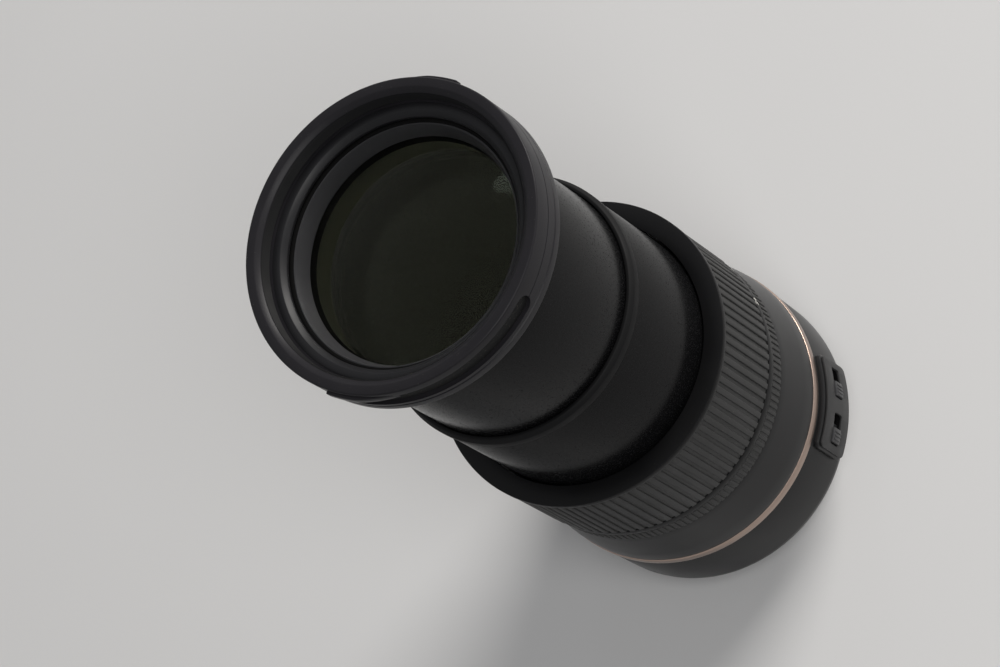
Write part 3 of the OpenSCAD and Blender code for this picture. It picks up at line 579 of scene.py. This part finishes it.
ring_outline = [(RING_BORE, RING_LOW, 0.1), (RING_R - RING_CHAMFER, RING_LOW, 0.25),
                (RING_R, RING_LOW + RING_CHAMFER, 0.25)]
for line_height, line_width in FLANK_LINES:
    ring_outline += turned_line(line_height, line_width)
ring_outline += [(RING_R, RIM, 0.5), (FACE_R, RIM, 0.2), (MOUTH_R, RIM - MOUTH_DEPTH, 0.2),
                 (MOUTH_R, SEAT_TOP, 0), (SEAT_R, SEAT_TOP, 0), (SEAT_R, SEAT_LOW, 0),
                 (RING_BORE, SEAT_LOW, 0)]
channels = [channel_shape(start, margin=0, low=0, high=3) for start in LUG_STARTS]
front_ring = cut(turn(ring_outline, RING_STEPS), *channels)
lugs = [hood_lug(start) for start in LUG_STARTS]
piece("front_ring", join(front_ring, *lugs), ring_plastic, "front", "satin_black", "filter_ring")

THREAD_BACK = THREAD_R + 0.1
THREAD_LOW = SEAT_TOP + 0.05
THREAD_TOP = RIM - 1.1
thread = [(THREAD_BACK, THREAD_LOW, 0), (THREAD_BACK, THREAD_TOP, 0), (THREAD_R, THREAD_TOP, 0)]
for turn_no in range(THREAD_TURNS):
    crest = FIRST_CREST - PITCH * turn_no
    thread += [(THREAD_R - THREAD_DEPTH, crest, 0), (THREAD_R, crest - PITCH / 2, 0)]
thread.append((THREAD_R, THREAD_LOW, 0))
piece("filter_thread", turn(thread, RING_STEPS), flat_lacquer, "front", "matte_black")
# Thin floors in the hood's channels, darker than the front ring: painted shade, with specks of dust
floors = [channel_shape(start, margin=0.1, low=-0.05, high=0.1) for start in LUG_STARTS]
piece("hood_channel_floors", join(*floors), channel_dust_and_painted_shade, "front", "matte_black")

# Rings and glass behind the thread

RETAINER_R, RETAINER_LOW, RETAINER_TOP = extent("front_retainer")
CELL_R, CELL_LOW, CELL_TOP = extent("front_cell")
FRONT_GLASS_R, FRONT_GLASS_LOW, _ = extent("front_element")
SECOND_GLASS_R, SECOND_GLASS_LOW, _ = extent("second_element")
INNER_TRIM_BORE = 34
INNER_TRIM_CHAMFER = 1.4
# The retaining ring's cone runs from its lip on the glass to the land on its front
RETAINER_LIP_R = 31
RETAINER_LIP = RETAINER_LOW + 0.42
RETAINER_FOOT_R = 32.3
RETAINER_LAND = 0.4
# The cell's bore laps over the edges of both glasses, and a cone joins the two seats
CELL_APERTURE = 28
SECOND_BORE = 29.3
CONE_LOW = 173.9
CONE_TOP_R = 30
FRONT_BORE = 32.1
CELL_MOUTH = RETAINER_R + FIT
# Paint on the cone: how far it stands off, and how far it is sunk into the wall and kept from the ends
PAINT = 0.06
PAINT_SINK = 0.05
PAINT_LOW = CONE_LOW + PAINT_SINK
PAINT_TOP = FRONT_GLASS_LOW - PAINT_SINK

# The inner trim ring's anodising is painted darker for the shade in its recess
piece("inner_trim_ring", turn([(INNER_TRIM_BORE, SEAT_LOW, 0.1), (INNER_TRIM_R, SEAT_LOW, 0.1),
                               (INNER_TRIM_R, SEAT_TOP, 0.1),
                               (INNER_TRIM_BORE + INNER_TRIM_CHAMFER, SEAT_TOP, 0.14),
                               (INNER_TRIM_BORE, SEAT_TOP - INNER_TRIM_CHAMFER, 0.14)]),
      trim_anodised_painted_shade, "front", "matte_black", "beauty_ring")
piece("glass_retaining_ring", turn([(RETAINER_LIP_R, RETAINER_LIP, 0.06),
                                    (RETAINER_FOOT_R, RETAINER_LOW, 0.02), (RETAINER_R, RETAINER_LOW, 0.05),
                                    (RETAINER_R, RETAINER_TOP, 0.15),
                                    (RETAINER_R - RETAINER_LAND, RETAINER_TOP, 0.12)]),
      matt_anodised, "front", "matte_black", "front_retainer")
piece("front_glass_cell", turn([(CELL_MOUTH, CELL_TOP, 0.1), (CELL_R, CELL_TOP, 0.1),
                                (CELL_R, CELL_LOW, 0.2), (CELL_APERTURE, CELL_LOW, 0.2),
                                (CELL_APERTURE, SECOND_GLASS_LOW, 0.1),
                                (SECOND_BORE, SECOND_GLASS_LOW, 0), (SECOND_BORE, CONE_LOW, 0),
                                (CONE_TOP_R, FRONT_GLASS_LOW, 0), (FRONT_BORE, FRONT_GLASS_LOW, 0),
                                (FRONT_BORE, RETAINER_LOW, 0), (CELL_MOUTH, RETAINER_LOW, 0)]),
      cell_black, "front", "matte_black", "front_cell")
piece("cell_wall_paint", turn([(SECOND_BORE - PAINT, PAINT_LOW, 0), (SECOND_BORE + PAINT_SINK, PAINT_LOW, 0),
                               (CONE_TOP_R + PAINT_SINK, PAINT_TOP, 0), (CONE_TOP_R - PAINT, PAINT_TOP, 0)]),
      cell_grey, "front", "matte_black")
piece("front_glass", lens_glass(FRONT_GLASS_R - FIT, FRONT_GLASS_LOW, edge=4.95, front=120, rear=300),
      front_glass, "front", "glass", "front_element")
piece("second_glass", lens_glass(SECOND_GLASS_R, SECOND_GLASS_LOW, edge=5, front=90, rear=200),
      inner_glass, "front", "glass", "second_element")

# Sliding tubes and the lip between them

MIDDLE_BORE = 36.05
LIP_R, LIP_LOW, LIP_TOP = extent("middle_lip")
LIP_BEVEL = 0.9
LIP_BEVEL_LENGTH = 1.3

piece("front_sliding_tube", tube(CELL_R + FIT, *extent("front_tube"), foot=0.2, head=0.1),
      tube_lacquer, "front", "satin_black", "front_tube")
piece("middle_sliding_tube", tube(MIDDLE_BORE, *extent("middle_tube"), foot=0.2, head=0.05),
      tube_lacquer, "middle", "satin_black", "middle_tube")
piece("middle_tube_lip", turn([(MIDDLE_BORE, LIP_LOW, 0.05), (LIP_R, LIP_LOW, 0.12),
                               (LIP_R, LIP_TOP - LIP_BEVEL_LENGTH, 0.16), (LIP_R - LIP_BEVEL, LIP_TOP, 0.2),
                               (MIDDLE_BORE, LIP_TOP, 0.12)]),
      flat_lacquer, "middle", "satin_black", "middle_lip")

# Zoom ring with its ribbed rubber

ZOOM_R, ZOOM_LOW, ZOOM_TOP = extent("zoom_ring")
_, ZOOM_GRIP_LOW, ZOOM_GRIP_TOP = extent("zoom_grip")
RING_SHELL_BORE = 42.1
SKIRT_R = 43.8
SKIRT_TOP = ZOOM_LOW + 3
GRIP_SEAT_R = 43.1
ZOOM_FACE_LOW = ZOOM_TOP - 2
ZOOM_FACE_BORE = 38.25
ZOOM_RIBS = 96
FOCUS_RIBS = 144
# Ribs reach into the sleeve by the first and end short of its edges by the other, in all
RIB_SINK = 0.2
RIB_SHORT = 0.3
# A rib's top is rounded by the smaller of these shares of its width and of its height
RIB_ROUND_WIDE = 0.42
RIB_ROUND_HIGH = 0.8
RIB_SEGMENTS = 3

piece("zoom_ring_shell", turn([(RING_SHELL_BORE, ZOOM_LOW, 0.1), (SKIRT_R, ZOOM_LOW, 0.25),
                               (SKIRT_R, SKIRT_TOP, 0.2), (GRIP_SEAT_R, SKIRT_TOP, 0.05),
                               (GRIP_SEAT_R, ZOOM_FACE_LOW, 0.05), (ZOOM_R, ZOOM_FACE_LOW, 0.1),
                               (ZOOM_R, ZOOM_TOP, 0.28), (ZOOM_FACE_BORE, ZOOM_TOP, 0.25),
                               (ZOOM_FACE_BORE, ZOOM_FACE_LOW, 0.1), (RING_SHELL_BORE, ZOOM_FACE_LOW, 0.1)]),
      satin_lacquer, "zoom", "satin_black", "zoom_ring")


def ribbed_rubber(inner, root, crest, low, high, count, share):
    """A rubber sleeve with rounded ribs along the axis, each as wide as a share of their spacing."""
    sleeve = turn([(inner, low, 0.05), (root, low, 0.15), (root, high, 0.15), (inner, high, 0.05)])
    width = 2 * math.pi * crest / count * share
    rib = block((crest - root + RIB_SINK, width, high - low - RIB_SHORT),
                ((crest + root - RIB_SINK) / 2, 0, (high + low) / 2))
    top = [edge for edge in rib.edges if all(vert.co.x > root for vert in edge.verts)]
    bevel(rib, top, min(RIB_ROUND_WIDE * width, RIB_ROUND_HIGH * (crest - root)), RIB_SEGMENTS)
    bmesh.ops.recalc_face_normals(rib, faces=rib.faces[:])
    return join(sleeve, repeat(rib, count))


piece("zoom_rubber", ribbed_rubber(GRIP_SEAT_R + FIT, root=43.5, crest=44.03, low=ZOOM_GRIP_LOW,
                                   high=ZOOM_GRIP_TOP, count=ZOOM_RIBS, share=0.62),
      rubber, "zoom", "rubber", "zoom_grip")

# Focus ring

FOCUS_R, FOCUS_LOW, FOCUS_TOP = extent("focus_ring")
piece("focus_ring_shell", tube(RING_SHELL_BORE, FOCUS_R, FOCUS_LOW, FOCUS_TOP, foot=0.1, head=0.1),
      satin_lacquer, "focus", "satin_black", "focus_ring")
piece("focus_rubber", ribbed_rubber(FOCUS_R + FIT, root=43.3, crest=43.68, low=FOCUS_LOW, high=FOCUS_TOP,
                                    count=FOCUS_RIBS, share=0.6),
      rubber, "focus", "rubber", "focus_grip")

# Fixed barrels and the metal trim ring

BARREL_R, BARREL_LOW, BARREL_TOP = extent("scale_barrel")
BARREL_BORE = extent("main_barrel")[0] + FIT
METAL_R, METAL_LOW, METAL_TOP = extent("trim_ring")
METAL_CHAMFER = 0.4
NECK_R = 43.4
NECK_CHAMFER = 0.4
# The barrel narrows to its neck between these levels
TAPER_LOW = BARREL_LOW + 4
TAPER_TOP = BARREL_TOP - 2
BARREL_TAPER = (BARREL_R - NECK_R) / (TAPER_TOP - TAPER_LOW)

piece("plain_barrel", turn([(BARREL_BORE, BARREL_LOW, 0.05), (BARREL_R, BARREL_LOW, 0.1),
                            (BARREL_R, TAPER_LOW, 2.2), (NECK_R, TAPER_TOP, 0.9),
                            (NECK_R - NECK_CHAMFER, BARREL_TOP, 0.15), (BARREL_BORE, BARREL_TOP, 0.1)]),
      barrel_lacquer, "barrel", "satin_black", "scale_barrel")
piece("metal_trim_ring", turn([(BARREL_BORE, METAL_LOW, 0.05), (METAL_R - METAL_CHAMFER, METAL_LOW, 0.08),
                               (METAL_R, METAL_LOW + METAL_CHAMFER, 0.1),
                               (METAL_R, METAL_TOP - METAL_CHAMFER, 0.1),
                               (METAL_R - METAL_CHAMFER, METAL_TOP, 0.08), (BARREL_BORE, METAL_TOP, 0.05)]),
      champagne, "barrel", "champagne_metal", "trim_ring")

REAR_R, REAR_LOW, REAR_TOP = extent("rear_barrel")
REAR_BORE = 27.1
REAR_WALL_TOP = 7
# A rounded shoulder leads from the mount to the shell's foot
REAR_STEP_R = 33.4
SHOULDER_R = 37.6
SHOULDER_TOP = 6.9
REAR_FOOT_R = 44.6
REAR_FOOT_TOP = 10
# The switches sit on a raised pad, each this many degrees from its middle
SWITCH_ANGLE = 8.505
SWITCH_Z = 20.0
PAD_SPAN = 36
PAD_LENGTH = 17
PAD_RISE = 1.37
PAD_SINK = -2.0
# Pocket under each switch: depth, width and length, and the radius of its middle
POCKET = (5.4, 12.8, 6.8)
POCKET_R = 46.5

pad = slab(math.radians(PAD_SPAN) * REAR_R, PAD_LENGTH, PAD_SINK, PAD_RISE, corner=2.2, rounding=0.5)
pad = wrap(shift(pad, 0, SWITCH_Z, 0), REAR_R, SIDE)
shell = turn([(REAR_BORE, REAR_LOW, 0.1), (REAR_STEP_R, REAR_LOW, 0.1), (SHOULDER_R, REAR_LOW, 3.0),
              (REAR_FOOT_R, SHOULDER_TOP, 3.0), (REAR_FOOT_R, REAR_FOOT_TOP, 0), (REAR_R, REAR_TOP, 0.1),
              (BARREL_BORE, REAR_TOP, 0.05), (BARREL_BORE, REAR_WALL_TOP, 0), (REAR_BORE, REAR_WALL_TOP, 0)])
pockets = [swing(block(POCKET, (POCKET_R, 0, SWITCH_Z)), SIDE + side * SWITCH_ANGLE) for side in (-1, 1)]
rear = join(cut(shell, *[pocket.copy() for pocket in pockets]), cut(pad, *pockets))
piece("rear_barrel_shell", rear, barrel_lacquer, "barrel", "satin_black", "rear_barrel")

# Switch plate and the two slide switches

PLATE_R = 47.1
PLATE_SPAN = 34
PLATE_LENGTH = 15
PLATE_THICK = 0.8
# Window over each switch: width, length and corner
WINDOW = (9.2, 5.2, 0.9)
WINDOW_X = math.radians(SWITCH_ANGLE) * PLATE_R
# Both switches rest at this end of their travel
SWITCH_REST = -2
# Depth, width and length of a switch's parts, and the radius of their middles
BASE = (1.4, 8, 6)
BASE_R = 44.8
BUTTON = (3.4, 4.4, 4.4)
BUTTON_R = 45.9
RIDGE = (0.5, 0.5, 3.6)
RIDGE_R = 47.6
RIDGE_GAP = 1.1

windows = [(side * WINDOW_X, 0, *WINDOW) for side in (-1, 1)]
plate = slab(math.radians(PLATE_SPAN) * PLATE_R, PLATE_LENGTH, -PLATE_THICK, 0.0, corner=1.6, rounding=0.16,
             holes=windows)
piece("switch_plate", wrap(shift(plate, 0, SWITCH_Z, 0), PLATE_R, SIDE),
      panel_plastic, "barrel", "panel_plastic", "switch_panel")


def slide_switch(side):
    """A slide switch with three grip ridges, at rest at one end of its travel."""
    base = block(BASE, (BASE_R, SWITCH_REST, SWITCH_Z), rounding=0.15)
    button = block(BUTTON, (BUTTON_R, SWITCH_REST, SWITCH_Z), rounding=0.35)
    ridges = [block(RIDGE, (RIDGE_R, SWITCH_REST + step * RIDGE_GAP, SWITCH_Z), rounding=0.12)
              for step in (-1, 0, 1)]
    return swing(join(base, button, *ridges), SIDE + side * SWITCH_ANGLE)


piece("mode_slide", slide_switch(-1), switch_plastic, "mode_switch", "switch_plastic", "focus_mode_switch")
piece("limit_slide", slide_switch(1), switch_plastic, "limit_switch", "switch_plastic",
      "focus_limit_switch")

# Mount: flange, spigot with claws, screws, contacts and rear glass

MOUNT_R, MOUNT_LOW, MOUNT_TOP = extent("mount_plate")
SPIGOT_R = 26
SPIGOT_BORE = 24.3
CLAW_ROOT_R = 25.5
CLAW_R = 27.3
CLAW_TOP = -4.4
CLAW_MIDDLES = (30, 150, 270)
CLAW_HALF = 27.5
# Screws on a circle, with heads that sink into the flange and a cross of two slots in each
SCREW_R = 29.3
SCREW_COUNT = 4
SCREW_START = 45
_, SCREW_LOW, SCREW_TOP = extent("mount_screws")
HEAD_R = 1.9
HEAD_GAP = 0.15
HEAD_DEPTH = 1.2
SHANK_R = 1
SLOT_LENGTH = 2.4
SLOT_WIDTH = 0.44
SLOT_DEPTH = 1.5
LOCK_HOLE_R = 1.7
LOCK_HOLE_DEPTH = 1.45
LOCK_HOLE_ANGLE = 10
# Holes are cut from this level, just outside the flange
DRILL_FROM = -1
BAFFLE_R, BAFFLE_LOW, BAFFLE_TOP = extent("rear_baffle")
BAFFLE_WALL_R = BAFFLE_R - 1.2
BAFFLE_FACE = -1
BAFFLE_APERTURE = 17.1
REAR_GLASS_R, REAR_GLASS_LOW, _ = extent("rear_element")
# Contacts stand in an arc on their carrier; the start, the sweep and the half are in degrees
_, PIN_LOW, PIN_TOP = extent("contact_pins")
PIN_R = 0.7
PIN_CHAMFER = 0.25
CARRIER_BORE = 18.5
CARRIER_R = 23
CONTACT_R = 21
CONTACT_SWEEP = 52.0
CONTACT_START = BOTTOM - CONTACT_SWEEP / 2
CONTACTS = 8
CARRIER_HALF = 34
# Red bead in the rear barrel's top side, with a low crown
BEAD_R = 1.5
BEAD_TOP = REAR_R
BEAD_LOW = BEAD_TOP - 1.6
CROWN_R = 0.9
CROWN_DROP = 0.1
BEAD_DROP = 0.45
BEAD_Z = 15


def stud(outline, radius, angle):
    """A small turned part that stands along the axis at a radius and an angle."""
    return swing(shift(turn(outline, STUD_STEPS), radius, 0, 0), angle)


def drill(radius, depth, angle):
    """The shape of a hole in the flange, on the circle of the screws."""
    return stud([(0, DRILL_FROM, 0), (radius, DRILL_FROM, 0), (radius, depth, 0), (0, depth, 0)],
                SCREW_R, angle)


holes = [drill(HEAD_R + HEAD_GAP, HEAD_DEPTH, SCREW_START + 360 / SCREW_COUNT * index)
         for index in range(SCREW_COUNT)]
holes.append(drill(LOCK_HOLE_R, LOCK_HOLE_DEPTH, LOCK_HOLE_ANGLE))
mount_disc = cut(turn([(SPIGOT_BORE, MOUNT_LOW, 0.15), (SPIGOT_R, MOUNT_LOW, 0.15), (SPIGOT_R, 0, 0.05),
                       (MOUNT_R, 0, 0.2), (MOUNT_R, MOUNT_TOP, 0.1), (SPIGOT_BORE, MOUNT_TOP, 0.1)]), *holes)
claws = [segment(CLAW_ROOT_R, CLAW_R, MOUNT_LOW, CLAW_TOP, middle - CLAW_HALF, middle + CLAW_HALF)
         for middle in CLAW_MIDDLES]
piece("bayonet_mount", join(mount_disc, *claws), chrome, "barrel", "mount_metal", "mount_plate")
screw = cut(turn([(0, SCREW_LOW, 0), (HEAD_R, SCREW_LOW, 0.25), (HEAD_R, HEAD_DEPTH, 0.05),
                  (SHANK_R, HEAD_DEPTH, 0), (SHANK_R, SCREW_TOP, 0.2), (0, SCREW_TOP, 0)], STUD_STEPS),
            block((SLOT_LENGTH, SLOT_WIDTH, SLOT_DEPTH), (0, 0, 0)),
            block((SLOT_WIDTH, SLOT_LENGTH, SLOT_DEPTH), (0, 0, 0)))
piece("flange_screws", repeat(swing(shift(screw, SCREW_R, 0, 0), SCREW_START), SCREW_COUNT),
      nickel, "barrel", "screw_steel", "mount_screws")
piece("rear_light_baffle", turn([(BAFFLE_APERTURE, BAFFLE_FACE, 0.2), (BAFFLE_WALL_R, BAFFLE_FACE, 0.1),
                                 (BAFFLE_WALL_R, BAFFLE_LOW, 0.15), (BAFFLE_R, BAFFLE_LOW, 0.15),
                                 (BAFFLE_R, BAFFLE_TOP, 0.05), (BAFFLE_APERTURE, BAFFLE_TOP, 0.1)]),
      cell_black, "barrel", "matte_black", "rear_baffle")
piece("contact_carrier", segment(CARRIER_BORE, CARRIER_R, PIN_TOP, BAFFLE_FACE, BOTTOM - CARRIER_HALF,
                                 BOTTOM + CARRIER_HALF, rounding=0.3),
      core_plastic, "barrel", "matte_black", "contact_block")
pins = stud([(0, PIN_LOW, 0), (PIN_R - PIN_CHAMFER, PIN_LOW, 0.1), (PIN_R, PIN_LOW + PIN_CHAMFER, 0.1),
             (PIN_R, PIN_TOP, 0), (0, PIN_TOP, 0)], CONTACT_R, CONTACT_START)
piece("contact_studs", repeat(pins, CONTACTS, CONTACT_SWEEP), gold, "barrel", "gold_contact", "contact_pins")
piece("rear_glass", lens_glass(REAR_GLASS_R, REAR_GLASS_LOW, edge=4, front=60, rear=80),
      inner_glass, "barrel", "glass", "rear_element")
bead = turn([(0, BEAD_TOP, 0), (CROWN_R, BEAD_TOP - CROWN_DROP, 0.3), (BEAD_R, BEAD_TOP - BEAD_DROP, 0.3),
             (BEAD_R, BEAD_LOW, 0.1), (0, BEAD_LOW, 0)], BEAD_STEPS)
piece("mounting_index", shift(swing(bead, 90, "X"), 0, 0, BEAD_Z),
      red_acrylic, "barrel", "red_plastic", "index_bead")

# Printed marks: zoom numbers on the skirt, their index line, and the hood's index dot

# How far print stands out, and how far a mark reaches into what it lies on
INK = 0.02
INK_SINK = -0.1
NUMBER_SIZE = 2.5
NUMBER_R = SKIRT_R + 0.01
NUMBER_Z = 60.3
ZOOM_MARKS = (("24", -152), ("35", -134), ("50", -118), ("70", -104), ("105", -90))
INDEX_WIDTH = 0.6
INDEX_LENGTH = 4.0
INDEX_R = 43.68
INDEX_Z = 48.0
DOT = 1.3
DOT_Z = 189.6


def number(text, size, radius, angle, height):
    """A printed number that lies on a cylinder, with its top towards the front of the lens."""
    curve = bpy.data.curves.new("number", "FONT")
    curve.body = text
    curve.size = size
    curve.align_x = "CENTER"
    curve.align_y = "CENTER"
    curve.extrude = INK
    made = bpy.data.objects.new("number", curve)
    bpy.context.scene.collection.objects.link(made)
    bpy.context.view_layer.update()
    mesh = bpy.data.meshes.new_from_object(made.evaluated_get(bpy.context.evaluated_depsgraph_get()))
    bm = bmesh.new()
    bm.from_mesh(mesh)
    bpy.data.objects.remove(made)
    bpy.data.curves.remove(curve)
    bpy.data.meshes.remove(mesh)
    bmesh.ops.remove_doubles(bm, verts=bm.verts[:], dist=MERGE_WITHIN)
    return wrap(shift(bm, 0, height, 0), radius, angle)


def printed(width, length, corner, radius, angle, height, taper=0.0):
    """A small printed mark on a cylinder, or on a barrel that narrows by taper mm for each mm forwards."""
    mark = slab(width, length, INK_SINK, INK, corner, rounding=0.005)
    for vert in mark.verts:
        vert.co.z -= taper * vert.co.y
    return wrap(shift(mark, 0, height, 0), radius, angle)


numbers = [number(text, NUMBER_SIZE, NUMBER_R, angle, NUMBER_Z) for text, angle in ZOOM_MARKS]
piece("zoom_numbers", join(*numbers), white_print, "zoom", "grey_plastic")
piece("zoom_index", printed(INDEX_WIDTH, INDEX_LENGTH, 0.1, INDEX_R, TOP, INDEX_Z, BARREL_TAPER),
      white_print, "barrel", "grey_plastic")
piece("hood_index", printed(DOT, DOT, 0.6, RING_R, TOP, DOT_Z), white_print, "front", "grey_plastic")

# Finishes of the CAD parts that stay

KEPT = (
    (core_plastic, "main_barrel core_barrel focus_cell iris_base iris_cover iris_ring"),
    (cell_black, "variator_cell rear_cell inner_cam"),
    (inner_glass, "variator_element focus_element"),
    (bright_alloy, "cam_barrel"),
    (acetal, "middle_followers front_followers"),
    (nickel, "guide_rods focus_motor zoom_key"),
    (board, "circuit_board"),
    (felt, "middle_felt"),
    (blade_steel, " ".join("iris_blade_%d" % blade for blade in range(1, 8))),
)
for material, names in KEPT:
    for name in names.split():
        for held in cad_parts[name].material_slots:
            held.material = material

# Studio, in metres: pale floor, soft light from the lens's top side, camera as in the photograph

FLOOR_HALF = 6
FLOOR_CELLS = 24
# The background's strength where it lights the lens, and where it is seen
SKY_LIGHT = 0.13
SKY_SEEN = 0.6

floor_mesh = bpy.data.meshes.new("floor")
bm = bmesh.new()
bmesh.ops.create_grid(bm, x_segments=FLOOR_CELLS, y_segments=FLOOR_CELLS, size=FLOOR_HALF)
shift(bm, 0, 0, cad_box[0][2])
bm.to_mesh(floor_mesh)
bm.free()
floor = bpy.data.objects.new("floor", floor_mesh)
bpy.context.scene.collection.objects.link(floor)
floor_mesh.materials.append(floor_paint)

world = bpy.data.worlds.new("studio")
bpy.context.scene.world = world
world.use_nodes = True
# The background is pale where it is seen, in a mirror or through glass too, and lights the rest only weakly
sky = world.node_tree.nodes["Background"]
sky.inputs["Color"].default_value = linear("#f4f5f7")
ray = add(world.node_tree, "LightPath").outputs
direct = add(world.node_tree, "Math", {0: ray["Is Camera Ray"], 1: ray["Is Glossy Ray"]},
             operation="MAXIMUM").outputs[0]
seen = add(world.node_tree, "Math", {0: direct, 1: ray["Is Transmission Ray"]},
           operation="MAXIMUM").outputs[0]
strength = add(world.node_tree, "MapRange",
               {"Value": seen, "To Min": SKY_LIGHT, "To Max": SKY_SEEN}).outputs[0]
world.node_tree.links.new(strength, sky.inputs["Strength"])


def lamp(name, place, size, watts, colour, target=(0, 0, 0.1)):
    """A soft round lamp aimed at the lens."""
    light = bpy.data.lights.new(name, "AREA")
    light.shape = "DISK"
    light.size = size
    light.energy = watts
    light.color = linear(colour)[:3]
    made = bpy.data.objects.new(name, light)
    bpy.context.scene.collection.objects.link(made)
    made.location = place
    made.rotation_euler = (Vector(target) - Vector(place)).to_track_quat("-Z", "Y").to_euler()


lamp("key", (-1.25, -1.93, 1.2), size=1.3, watts=72, colour="#fffcf7")
lamp("front", (-1.05, 0.69, 1.92), size=1.2, watts=21, colour="#fffefc")
lamp("glint", (0.13, -1.09, 1.81), size=0.2, watts=0.3, colour="#e2eeff", target=(0, 0, 0.2))

# The camera's place and its right, up and back directions
EYE = (-0.46503, 0.31473, 0.99011)
RIGHT = Vector((-0.8826, -0.0391, -0.4685))
UP = Vector((-0.1085, -0.9527, 0.2840))
BACK = Vector((-0.4574, 0.3015, 0.8366))

camera = bpy.data.cameras.new("camera")
camera.sensor_width = 36
camera.sensor_fit = "HORIZONTAL"
camera.lens = 136.8
camera.clip_start = 0.01
view = bpy.data.objects.new("camera", camera)
bpy.context.scene.collection.objects.link(view)
view.matrix_world = Matrix.Translation(EYE) @ Matrix((RIGHT, UP, BACK)).transposed().to_4x4()
bpy.context.scene.camera = view
bpy.context.scene.view_settings.view_transform = "Standard"
